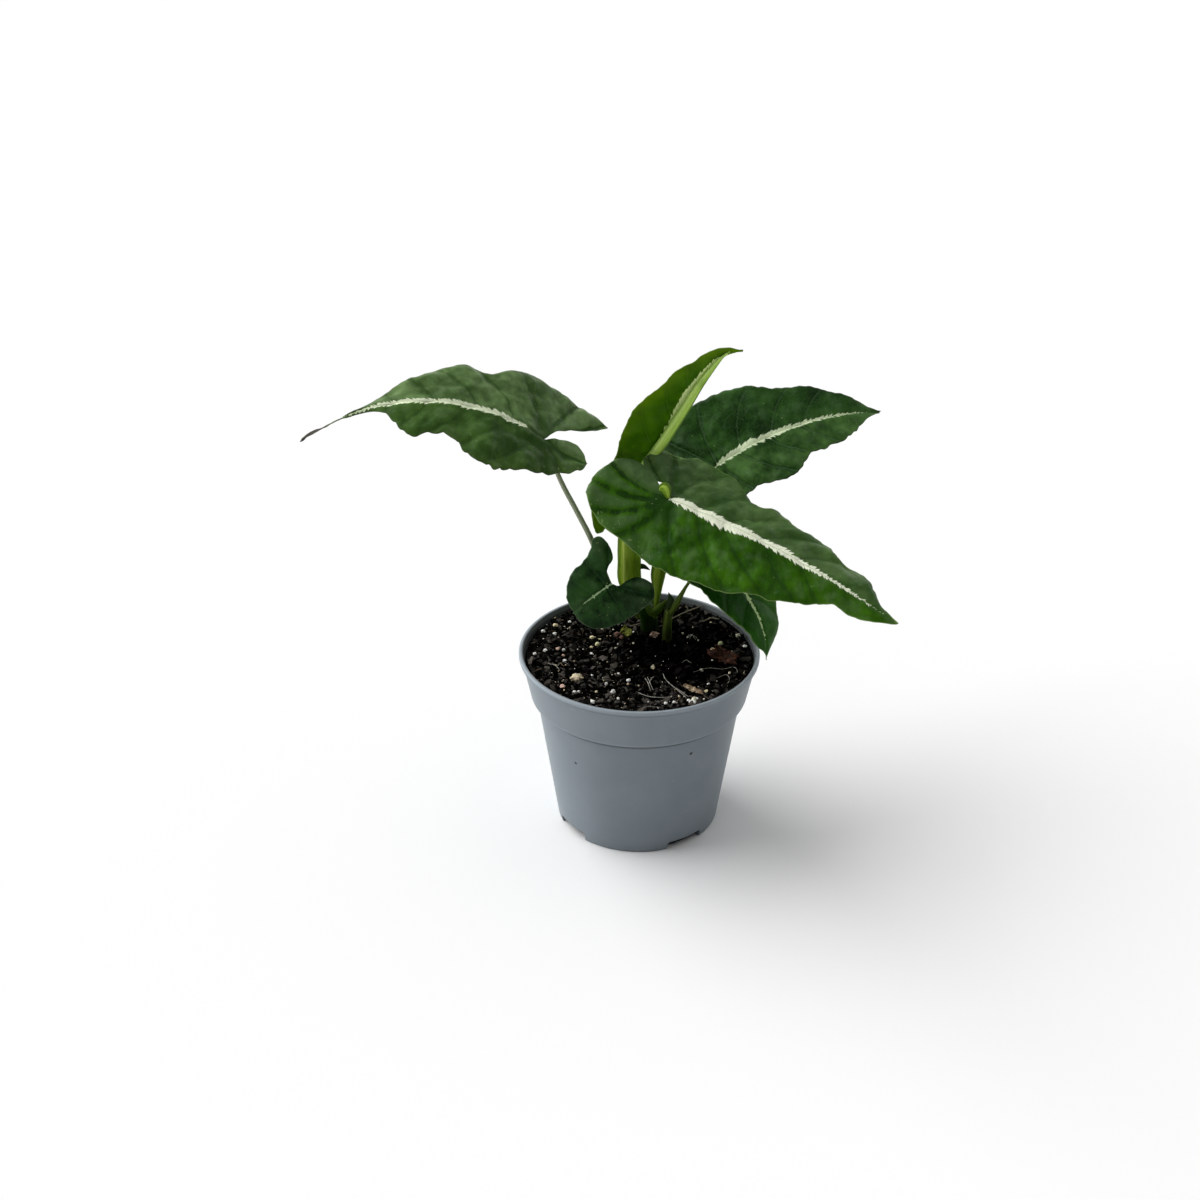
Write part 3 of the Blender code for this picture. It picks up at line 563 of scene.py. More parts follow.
def makeBlade(name, leaf, material):
    rib = bendRib(leaf)
    shape = bmesh.new()
    layers = [shape.verts.layers.float.new(label) for label in sheetLayers]
    band = np.array(leaf["band"])
    for side in (0, 1):
        flat, spread, rim = flatHalf(leaf, side)
        rows, columns = rim.shape
        points = flat.reshape(-1, 2)
        outward, along = points.T
        spread, rim = spread.ravel(), rim.ravel()
        places = bendFlat(leaf, rib, side, outward, along, spread) * mm
        vein = nearestVein(points, veinPaths(leaf, side))
        share = along / leaf["length"]
        # a negative half width means no stripe
        halfBand = np.interp(share, band[:, 0], band[:, 1 + side], left=-3.0, right=-1.0)
        inner = np.clip(rim / 3, 0, 1)
        raised = bladeRelief(leaf, side, points, vein, spread, inner)
        top, bottom = bladeThickness(leaf, outward, share, inner)
        across = outward * (1 if side else -1)
        values = np.stack([across, along, vein, rim, np.abs(outward) - halfBand, raised, top, bottom], axis=1)
        verts = []
        for place, row in zip(places, values):
            vert = shape.verts.new(place)
            for layer, value in zip(layers, row):
                vert[layer] = value
            verts.append(vert)
        for row in range(rows - 1):
            for column in range(columns - 1):
                low = row * columns + column
                face = [verts[low], verts[low + 1], verts[low + columns + 1], verts[low + columns]]
                shape.faces.new(face if side else face[::-1])
    bmesh.ops.remove_doubles(shape, verts=shape.verts, dist=0.02 * mm)
    bmesh.ops.dissolve_degenerate(shape, edges=shape.edges, dist=0.005 * mm)
    lift = layers[sheetLayers.index("raise")]
    shape.normal_update()
    for vert, normal in [(vert, vert.normal.copy()) for vert in shape.verts]:
        vert.co += normal * vert[lift] * mm
    shape.normal_update()
    return closeSheet(name, shape, layers, material)


def closeSheet(name, shape, layers, material):
    # give the middle sheet its upper and lower face and its rim
    shape.verts.index_update()
    count = len(shape.verts)
    middle = np.array([vert.co for vert in shape.verts])
    normals = np.array([vert.normal for vert in shape.verts])
    data = np.array([[vert[layer] for layer in layers] for vert in shape.verts])
    top, bottom = [data[:, [sheetLayers.index(label)]] for label in ("top", "bottom")]
    upper = middle + normals * top * mm
    lower = middle - normals * bottom * mm
    faces = [[vert.index for vert in face.verts] for face in shape.faces]
    border = [[loop.vert.index, loop.link_loop_next.vert.index]
              for edge in shape.edges if edge.is_boundary for loop in edge.link_loops]
    shape.free()
    allFaces = faces + [[count + index for index in face[::-1]] for face in faces]
    allFaces += [[second, first, count + first, count + second] for first, second in border]
    mesh = bpy.data.meshes.new(name)
    mesh.from_pydata(np.vstack([upper, lower]).tolist(), [], allFaces)
    mesh.update()
    for column, label in enumerate(sheetLayers):
        if label.startswith("leaf"):
            setFloats(mesh, label, np.tile(data[:, column], 2))
    setFloats(mesh, "leafUnder", np.repeat([0.0, 1.0], count))
    mesh.shade_smooth()
    return addPiece(name, mesh, material)


def edgeOfCells(paint, across, along, layer, scale):
    return paint.node("ShaderNodeTexVoronoi", {"feature": "DISTANCE_TO_EDGE"}, {
        "Vector": paint.vector(across, along, layer), "Scale": scale, "Randomness": 1.0}, "Distance")


def leafPatterns(paint, leaf, across, along, vein):
    # the patterns that colour and bump share, on the flat leaf in millimetres
    marks = dict(
        broad=paint.cloud(paint.place(), 38.0, 3.0, 0.55),
        patches=paint.cloud(paint.vector(across, along, 3.0), 0.075, 2.0, 0.5),
        wander=paint.cloud(paint.vector(across, along, 9.0), 0.16, 2.0),
        mottle=paint.cloud(paint.vector(across, along, 14.0), 0.26, 3.0, 0.6),
        network=edgeOfCells(paint, across, along, 0.0, 0.42),
        lobes=paint.ease(along, 6.0, -12.0),
        lobeLift=paint.ease(along, -6.0, -26.0, 0.0, leaf.get("lobeLift", 0.22)))
    lateral = paint.vector(across * 0.1, (along - across.size() * 0.5) * 0.32, 6.0)
    marks["crinkles"] = paint.cloud(lateral, 1.0, 2.0, 0.55)
    marks["crease"] = paint.ease(vein + (marks["wander"] - 0.5) * 3.6, 0.0, 1.7, 1.0, 0.0)
    cells = edgeOfCells(paint, across, along * 1.2, 4.0, 0.15)
    seams = paint.ease(cells + (marks["wander"] - 0.5) * 0.3, 0.0, 0.42, 1.0, 0.0)
    marks["seams"] = seams * paint.ease(along, 62.0, 12.0, 0.2, 1.0)
    return marks


def leafTone(paint, leaf, marks):
    # 0 where the leaf has its dark colour, 1 where it has its bright one
    contrast = leaf["contrast"]
    tone = 0.47 + (marks["broad"] - 0.5) * 1.3 * contrast + (marks["patches"] - 0.5) * 1.7 * contrast
    # crinkle streaks add painted light and shade on the wrinkles, and the groove term below is painted shade
    # in the creases along the veins and the seams between puckers
    tone = tone + (marks["crinkles"] - 0.5) * leaf["crinkle"] + (marks["mottle"] - 0.5) * leaf["mottle"]
    grooveShade = marks["crease"] * (0.22 + 0.4 * marks["lobes"]) + marks["seams"] * leaf["savoy"]
    return paint.ease(tone + marks["lobeLift"] - grooveShade, 0.0, 1.0)


def leafTissue(paint, leaf, across, vein, rim, under, marks):
    # the green of both faces, with its sheen, veins and paler margin
    tone = leafTone(paint, leaf, marks)
    patches, lobes = marks["patches"], marks["lobes"]
    halves = [paint.mix(shade(*dark), shade(*bright), tone) for dark, bright in (leaf["left"], leaf["right"])]
    tissue = paint.mix(*halves, paint.ease(across, -3.0, 3.0))
    # painted sheen on the tissue between the veins and on the lobes
    *sheen, sheenShare = leaf["sheen"]
    glow = paint.ease(vein, 1.6, 4.5) * paint.ease(marks["wander"] + (patches - 0.5) * 0.6, 0.46, 0.66)
    lobeSheen = paint.ease(vein, 1.2, 3.6) * lobes * 0.5
    tissue = paint.mix(tissue, shade(*sheen), (glow * 0.35 + lobeSheen) * sheenShare)
    # painted shade deep in the creases of the lobes
    grooveShade = marks["crease"] * paint.ease(patches, 0.35, 0.6) * lobes * leaf["grooveShade"]
    tissue = paint.mix(tissue, shade(12, 32, 6), grooveShade)
    *tint, veinShare = leaf["veinTint"]
    veinLine = paint.ease(vein, 0.1, 0.7, 1.0, 0.0)
    tissue = paint.mix(tissue, shade(*tint), paint.ease(marks["network"], 0.0, 0.07, 1.0, 0.0) * 0.16)
    tissue = paint.mix(tissue, shade(*tint), veinLine * (veinShare + marks["lobeLift"]))
    below = paint.mix(*[shade(*colour) for colour in leaf["underside"]], tone)
    below = paint.mix(below, shade(*tint), veinLine * veinShare)
    tissue = paint.mix(tissue, below, under)
    rimGlow = paint.ease(rim, 9.0, 0.5) * ((patches - 0.25) * leaf["rimShare"])
    return paint.mix(tissue, shade(*leaf["rimTint"]), rimGlow)


def leafStripe(paint, leaf, across, along, vein, edge, tissue):
    # pale stripe with feathered edges that point to the tip: its mask and its colour
    comb = along - across.size() * 1.1
    half = paint.ease(across, -0.01, 0.01, 0.0, 9.0)
    barbs = paint.cloud(paint.vector(comb, half, 0.0), 0.45, 3.0, 0.62)
    fringe = paint.cloud(paint.vector(comb, half, 5.0), 2.4, 1.0)
    frayed = edge - (barbs - 0.5) * leaf["fray"] - (fringe - 0.5) * leaf["fray"] * 0.28
    stripe = paint.ease(frayed + paint.ease(vein, 0.0, 0.7, -0.7, 0.0), -0.1, 0.14, 1.0, 0.0)
    streaks = paint.cloud(paint.vector(comb, across * 0.3, 4.0), 2.6, 2.0)
    pale = shade(*leaf["stripe"])
    colour = paint.mix(pale, paint.mix(tissue, pale, 0.62), paint.ease(streaks, 0.5, 0.72))
    colour = paint.mix(colour, shade(138, 168, 96), paint.ease(across.size(), 0.08, 0.34, 0.4, 0.0))
    return stripe, colour


def leafPaint(name, leaf):
    paint = Paint(name)
    paint.shader.inputs["Specular IOR Level"].default_value = 0.05
    across, along, vein, rim, edge, under = [
        paint.attribute(label) for label in
        ("leafAcross", "leafAlong", "leafVein", "leafRim", "leafBand", "leafUnder")]
    marks = leafPatterns(paint, leaf, across, along, vein)
    tissue = leafTissue(paint, leaf, across, vein, rim, under, marks)
    stripe, stripeColour = leafStripe(paint, leaf, across, along, vein, edge, tissue)
    colour = paint.mix(tissue, stripeColour, stripe)
    colour = paint.mix(colour, shade(*leaf["border"]), paint.ease(rim, 0.15, 0.6, 0.6, 0.0))
    tipTint = paint.ease(along, 0.84 * leaf["length"], 0.94 * leaf["length"], 0.0, leaf.get("tipShare", 0.0))
    colour = paint.mix(colour, shade(116, 108, 104), tipTint)
    marginDust = paint.ease(along, 12.0, -10.0) * paint.ease(rim, 9.0, 1.0) * 0.09
    specks = paint.ease(paint.cloud(paint.place(), 620.0, 1.0) + marginDust, 0.74, 0.78)
    colour = paint.mix(colour, shade(150, 168, 110), specks * 0.35)
    grain = paint.cloud(paint.place(), 900.0, 2.0)
    height = marks["network"] * 0.09 + grain * 0.04 - stripe * 0.03
    height = height - marks["seams"] * leaf["savoy"] * 0.9 - marks["crease"] * 0.3
    height = height + (marks["crinkles"] * 0.5 + marks["mottle"] * 0.7) * leaf["relief"]
    return paint.finish(
        Base_Color=colour,
        Roughness=paint.ease(marks["broad"], 0.3, 0.7, 0.36, 0.46) + stripe * 0.08,
        Normal=paint.bump(height, 0.8 * mm, 0.7))


# stalks, stems and shoots

# A path runs upwards in millimetres, and widths and depths are half widths along it. bumps are
# (degrees round the stalk, width in degrees, height) of ribs that run along it.
stalks = {
    "main_stem": dict(
        path=[(4.0, 29.2, 66), (4.8, 28.8, 88), (4.2, 28.3, 99), (-0.8, 27.6, 108.4)],
        widths=[3.2, 4.4, 4.3, 3.2], look="darkStem", bumps=[(300, 30, 0.3)]),
    "side_stem": dict(
        path=[(13.6, 17.0, 66), (13.9, 17.6, 89), (14.1, 17.8, 98), (14.6, 17.8, 107)],
        widths=[2.2, 2.5, 2.3, 1.9], look="sideStem", bumps=[(285, 24, 0.25)]),
    "petiole_upright": dict(
        path=[(-1.5, 27.57, 108.2), (-5.0, 27.0, 118), (-5.6, 27.2, 132), (-5.8, 28.2, 143),
              (-4.8, 29.6, 152), (-2.4, 31.8, 161), (0.6, 33.5, 170.0)],
        widths=[3.0, 5.8, 5.8, 5.5, 4.4, 3.0, 2.4], depths=[3.0, 3.0, 2.8, 2.6, 2.3, 2.1, 2.0],
        look="sheath", bumps=[(292, 14, 0.9), (266, 10, -0.6), (246, 12, 0.4)]),
    "uprightKeel": dict(
        path=[(-1.6, 31.8, 173.5), (1.0, 31.2, 180.3), (8.5, 30.5, 190.5), (15.6, 30.5, 202.2),
              (22.3, 30.8, 213.8), (28.6, 31.4, 224.6), (34.4, 32.2, 232.6), (38.2, 33.0, 237.0),
              (41.5, 33.8, 239.4)],
        widths=[1.3, 1.9, 2.6, 2.5, 2.2, 1.8, 1.2, 0.7, 0.25], look="keel", partOf="blade_upright"),
    "petiole_left": dict(
        path=[(-4.2, 26.2, 102), (-8.6, 23.6, 107), (-14.4, 22.5, 116), (-18.8, 23.5, 127),
              (-24.4, 24.0, 143), (-31.8, 21.5, 160.6), (-39.0, 17.8, 178), (-46.2, 15.15, 198.9)],
        widths=[1.4, 1.5, 1.6, 1.5, 1.4, 1.3, 1.2, 1.0], look="paleStalk"),
    "petiole_front_right": dict(
        path=[(7.6, 26.2, 98), (8.3, 26.0, 107), (8.8, 25.3, 116), (9.3, 24.2, 126), (11.6, 18.5, 145),
              (11.2, 15.6, 160), (10.9, 13.6, 170), (11.1, 11.4, 177.4), (12.1, 8.4, 178.2),
              (13.2, 5.4, 175.2)],
        widths=[1.2, 1.6, 2.6, 3.8, 2.4, 2.2, 2.6, 3.0, 2.6, 1.3],
        depths=[1.2, 1.5, 1.7, 2.0, 1.7, 2.0, 2.4, 2.8, 2.4, 1.3],
        look="archStalk", bumps=[(285, 14, 0.5), (250, 12, -0.35), (228, 12, 0.3)]),
    "petiole_back_right": dict(
        path=[(5.5, 32.7, 95), (7.2, 32.4, 108), (9.6, 32.4, 125), (17.5, 35.0, 146),
              (29.0, 40.5, 163), (35.15, 43.85, 169.85)],
        widths=[1.4, 1.6, 1.5, 1.4, 1.2, 1.0], look="plainStalk"),
    "petiole_hanging": dict(
        path=[(15.0, 17.4, 104), (18.6, 16.5, 112), (21.0, 15.7, 117.6), (23.4, 14.6, 123),
              (28.6, 11.6, 133.5), (31.4, 8.3, 141.9)],
        widths=[1.3, 1.6, 1.1, 0.8, 0.8, 0.8], look="sideStem"),
    "petiole_small": dict(
        path=[(-0.5, 24.0, 99), (-6.0, 16.6, 111), (-11.0, 10.4, 121.7), (-13.7, 6.9, 126.8)],
        widths=[1.2, 1.3, 1.1, 0.9], look="plainStalk"),
    "side_bud": dict(
        path=[(13.0, 19.4, 98.5), (14.6, 19.6, 107), (15.8, 19.8, 111), (14.4, 20.0, 116)],
        widths=[1.6, 2.0, 1.9, 0.12], depths=[1.2, 1.3, 1.2, 0.12], look="budTip"),
    "sheath_flap": dict(
        path=[(3.6, 22.2, 111), (4.3, 21.8, 106), (6.4, 21.6, 103.2), (8.8, 21.5, 104.4),
              (12.6, 21.4, 109), (16.0, 21.4, 112)],
        widths=[0.8, 1.5, 2.2, 2.3, 1.4, 0.3], depths=[0.5, 0.8, 0.9, 0.9, 0.6, 0.25], look="flap"),
    "sheath_point": dict(
        path=[(-1.8, 27.2, 126.6), (1.6, 26.9, 126.8), (5.0, 26.5, 125.0)],
        widths=[1.7, 1.4, 0.15], depths=[0.5, 0.45, 0.12], look="budTip"),
}
# colours are of the dark rim, which is painted shade, the stalk, its lighter fibres and its pale front
# ridge with a painted highlight; ridgeTurn, rimTurn and lineTurn are shares of a turn round the stalk
stalkLooks = dict(
    darkStem=dict(colours=[(12, 34, 2), (18, 48, 4), (30, 66, 8), (26, 58, 6)], streak=(60, 92, 26)),
    sideStem=dict(colours=[(38, 50, 8), (54, 72, 14), (82, 100, 32), (100, 120, 46)], streak=(128, 142, 80)),
    sheath=dict(colours=[(46, 64, 12), (98, 130, 10), (130, 166, 22), (190, 216, 74)],
                streak=(226, 242, 130), lineTurn=0.815, lineShare=0.85),
    flap=dict(colours=[(40, 60, 8), (54, 80, 12), (76, 104, 22), (126, 156, 60)],
              streak=(150, 176, 90), ridgeTurn=0.97, rimTurn=0.5),
    plainStalk=dict(colours=[(58, 80, 26), (84, 110, 40), (112, 138, 60), (140, 162, 88)],
                    streak=(160, 180, 116)),
    keel=dict(colours=[(60, 96, 18), (168, 210, 84), (192, 232, 108), (222, 252, 148)],
              streak=(222, 250, 160), ridgeTurn=0.88, rimTurn=0.6),
    archStalk=dict(colours=[(40, 62, 8), (80, 110, 12), (104, 138, 22), (166, 196, 70)],
                   streak=(176, 200, 90), lineTurn=0.84, lineShare=0.7),
    paleStalk=dict(colours=[(84, 94, 62), (116, 128, 92), (138, 148, 116), (170, 176, 152)],
                   streak=(186, 192, 160)),
    budTip=dict(colours=[(18, 34, 10), (26, 44, 12), (36, 58, 18), (44, 66, 24)], streak=(60, 84, 34)),
)


def domed(index, samples, rings=4, least=0.35):
    # the last rings draw in like a dome
    past = max(0.0, (index - samples + rings) / rings)
    return max(least, math.sqrt(max(0.0, 1 - past ** 2)))


def makeStalk(name, stalk, material, sides=36, samples=110):
    depths = stalk.get("depths", stalk["widths"])
    points = [[*place, width, depth] for place, width, depth in zip(stalk["path"], stalk["widths"], depths)]
    line = evenly(catmull(np.array(points)), samples)
    centres = line[:, :3]
    tangents = np.gradient(centres, axis=0)
    tangents /= np.linalg.norm(tangents, axis=1)[:, None]
    turns = np.linspace(0, 2 * math.pi, sides, endpoint=False)
    swell = np.zeros(sides)
    for angle, width, height in stalk.get("bumps", []):
        away = np.degrees(np.angle(np.exp(1j * (turns - math.radians(angle)))))
        swell += height * np.exp(-(away / width) ** 2)
    verts = []
    for index, (centre, tangent) in enumerate(zip(centres, tangents)):
        side = np.cross(tangent, (0.0, 1.0, 0.0))
        side /= np.linalg.norm(side)
        other = np.cross(side, tangent)
        width, depth = line[index, 3:]
        for turn, bulge in zip(turns, swell):
            lump = noise.noise(Vector((math.cos(turn), math.sin(turn), index * 0.06))) * 0.04
            share = (1 + lump) * domed(index, samples)
            grow = bulge * min(1.0, width / 3)
            verts.append(centre + side * (width * share + grow) * math.cos(turn)
                         + other * (depth * share + grow) * math.sin(turn))
    faces = [list(range(sides)), list(reversed(range((samples - 1) * sides, samples * sides)))]
    for ring in range(samples - 1):
        for step in range(sides):
            after = (step + 1) % sides
            low = ring * sides
            faces.append([low + step, low + after, low + sides + after, low + sides + step])
    mesh = bpy.data.meshes.new(name)
    mesh.from_pydata((np.array(verts) * mm).tolist(), [], faces)
    mesh.update()
    shape = bmesh.new()
    shape.from_mesh(mesh)
    bmesh.ops.recalc_face_normals(shape, faces=shape.faces)
    shape.to_mesh(mesh)
    shape.free()
    setFloats(mesh, "stalkTurn", np.tile(turns / (2 * math.pi), samples))
    setFloats(mesh, "stalkRise", np.repeat(centres[:, 2], sides))
    mesh.shade_smooth()
    mesh.set_sharp_from_angle(angle=math.radians(60))
    return addPiece(name, mesh, material)


def stalkPaint(name, look):
    paint = Paint(name)
    paint.shader.inputs["Specular IOR Level"].default_value = 0.12
    turn, rise = paint.attribute("stalkTurn"), paint.attribute("stalkRise")
    place = paint.place()
    fibres = paint.cloud(paint.vector(turn * 60.0, rise * 0.09, 0.0), 1.0, 3.0, 0.6)
    deep, plain, light, ridge = [shade(*colour) for colour in look["colours"]]
    # painted highlight on the pale front ridge, and painted shade down one side, the rim
    front = paint.ease((turn - look.get("ridgeTurn", 0.79)).size(), 0.0, 0.12, 1.0, 0.0)
    rimShade = paint.ease((turn - look.get("rimTurn", 0.98)).size(), 0.0, 0.1, 1.0, 0.0)
    colour = paint.mix(plain, light, paint.ease(fibres, 0.35, 0.65))
    colour = paint.mix(colour, ridge, front * 0.7)
    if "lineTurn" in look:
        # narrow pale ridge with a painted highlight, running up the stalk
        line = paint.ease((turn + (fibres - 0.5) * 0.012 - look["lineTurn"]).size(), 0.004, 0.02, 1.0, 0.0)
        colour = paint.mix(colour, shade(*look["streak"]), line * look["lineShare"])
    colour = paint.mix(colour, shade(*look["streak"]), paint.ease(fibres, 0.6, 0.78) * 0.4)
    colour = paint.mix(colour, deep, rimShade * 0.8)
    blotch = paint.cloud(place, 120.0, 3.0)
    colour = paint.mix(colour, deep, paint.ease(blotch, 0.55, 0.8) * 0.4)
    # painted shade: the stalks darken low down, where they meet the mix
    height = paint.node("ShaderNodeSeparateXYZ", sockets={0: place}, output="Z")
    colour = paint.mix(colour, shade(12, 14, 5), paint.ease(height, 92.0 * mm, 104.0 * mm, 0.75, 0.0))
    return paint.finish(
        Base_Color=colour,
        Roughness=paint.ease(blotch, 0.3, 0.7, 0.36, 0.5),
        Normal=paint.bump(fibres, 0.15 * mm, 0.5))


# pot

pot = dict(
    rimRadius=60.0, height=94.6, baseRadius=41.3, bodyTopRadius=51.5, collarBottom=71.3,
    collarBottomRadius=54.4, collarTopRadius=58.6, wall=1.2, lipHeight=2.4, lipWidth=1.9, footHeight=3.5,
    footInnerRadius=36.2, padRadius=15.0, footCount=4, firstNotch=-54.0, notchWidth=29.0, notchHeight=4.5,
    innerStep=1.4, steps=160, longest=3.0,  # steps round it and the longest face, in mm
    # specks of dirt: degrees round the pot, height and width, on a wall that widens with its height
    specks=[(231, 51.0, 1.2), (301, 61.0, 1.2), (311, 26.0, 1.1)], speckReach=43.2, wallSlope=0.115,
)


def rounded(points, steps=5):
    # fillet each corner that has a radius; points are (radius, height, fillet)
    path = []
    for index, (radius, height, fillet) in enumerate(points):
        here = np.array([radius, height])
        if fillet == 0 or index in (0, len(points) - 1):
            path.append(here)
            continue
        before, after = np.array(points[index - 1][:2]), np.array(points[index + 1][:2])
        back, ahead = before - here, after - here
        backLength, aheadLength = np.linalg.norm(back), np.linalg.norm(ahead)
        back, ahead = back / backLength, ahead / aheadLength
        half = math.acos(np.clip(back @ ahead, -1, 1)) / 2
        cut = min(fillet / math.tan(half), 0.48 * backLength, 0.48 * aheadLength)
        start, end = here + back * cut, here + ahead * cut
        for t in np.linspace(0, 1, steps):
            path.append((1 - t) ** 2 * start + 2 * t * (1 - t) * here + t ** 2 * end)
    return path


def divided(path, longest):
    # extra points on long straight runs
    full = [path[0]]
    for start, end in zip(path, path[1:]):
        parts = max(1, int(np.linalg.norm(end - start) / longest))
        full += [start + (end - start) * step / parts for step in range(1, parts + 1)]
    return full


def turned(name, path, steps, material):
    # ring by ring, so that the order of faces is the same each time
    shape = bmesh.new()
    rings = []
    for radius, height in path:
        turns = [0.0] if radius == 0 else [2 * math.pi * step / steps for step in range(steps)]
        places = [(radius * math.cos(turn) * mm, radius * math.sin(turn) * mm, height * mm) for turn in turns]
        rings.append([shape.verts.new(place) for place in places])
    for low, high in zip(rings, rings[1:]):
        for step in range(steps):
            after = (step + 1) % steps
            if len(low) == 1:
                shape.faces.new([low[0], high[after], high[step]])
            elif len(high) == 1:
                shape.faces.new([low[step], low[after], high[0]])
            else:
                shape.faces.new([low[step], low[after], high[after], high[step]])
    return toObject(name, shape, material)


def potWall():
    # radius, height and fillet of each corner: underside, outer wall, rim, then down the inside
    wall, pad, foot, ring = pot["wall"], pot["padRadius"], pot["footHeight"], pot["footInnerRadius"]
    base, body, step = pot["baseRadius"], pot["bodyTopRadius"], pot["collarBottom"]
    collarLow, collarHigh, rim = pot["collarBottomRadius"], pot["collarTopRadius"], pot["rimRadius"]
    top, lip = pot["height"], pot["height"] - pot["lipHeight"]
    return rounded([
        (0, 0, 0), (pad, 0, 0.5), (pad + wall, foot, 0.5), (ring - wall, foot, 0.5), (ring, 0, 0.3),
        (base - 0.2, 0, 0.9), (body, step - 0.5, 0.7), (collarLow - 0.1, step + 0.1, 0.8),
        (collarHigh, lip - 0.1, 0.3), (rim, lip, 0.5), (rim, top, 0.8), (rim - pot["lipWidth"], top, 0.6),
        (collarHigh - wall, lip - 0.4, 0.5), (collarLow - wall, step + pot["innerStep"], 0.8),
        (body - wall, step + 0.6, 0.8), (base - wall, wall, 1.2), (ring + wall, wall, 0),
        (ring, foot + wall, 0), (pad, foot + wall, 0), (pad - wall, wall, 0), (0, wall, 0),
    ])


def notchCutter(index, material, count=25):
    # a wedge that opens the foot ring, with the ends of its ceiling rounded down
    middle = pot["firstNotch"] + index * 360 / pot["footCount"]
    shape = bmesh.new()
    for radius in (pot["footInnerRadius"] - 1.8, pot["baseRadius"] + 3):
        for turn in np.linspace(-0.5, 0.5, count):
            angle = math.radians(middle + turn * pot["notchWidth"])
            ceiling = pot["notchHeight"] * (1 - max(0.0, (abs(turn) - 0.42) / 0.08) ** 3 * 0.35)
            x, y = radius * mm * math.cos(angle), radius * mm * math.sin(angle)
            for height in (-2.0, ceiling):
                shape.verts.new((x, y, height * mm))
    shape.verts.ensure_lookup_table()

    def corner(ring, step, level):
        return shape.verts[(ring * count + step) * 2 + level]

    for step in range(count - 1):
        for ring in (0, 1):
            shape.faces.new([corner(ring, step, 0), corner(ring, step + 1, 0),
                             corner(ring, step + 1, 1), corner(ring, step, 1)])
        for level in (0, 1):
            shape.faces.new([corner(0, step, level), corner(1, step, level),
                             corner(1, step + 1, level), corner(0, step + 1, level)])
    for step in (0, count - 1):
        shape.faces.new([corner(0, step, 0), corner(0, step, 1), corner(1, step, 1), corner(1, step, 0)])
    bmesh.ops.recalc_face_normals(shape, faces=shape.faces)
    return toObject(f"notchCutter{index}", shape, material)


def makePot(material):
    piece = turned("growPot", divided(potWall(), pot["longest"]), pot["steps"], material)
    cutters = [notchCutter(index, material) for index in range(pot["footCount"])]
    for cutter in cutters:
        cut = piece.modifiers.new(cutter.name, "BOOLEAN")
        cut.operation, cut.solver, cut.object = "DIFFERENCE", "EXACT", cutter
    settle(piece)
    for cutter in cutters:
        bpy.data.objects.remove(cutter)
    piece.data.shade_smooth()
    piece.data.set_sharp_from_angle(angle=math.radians(38))
    return piece


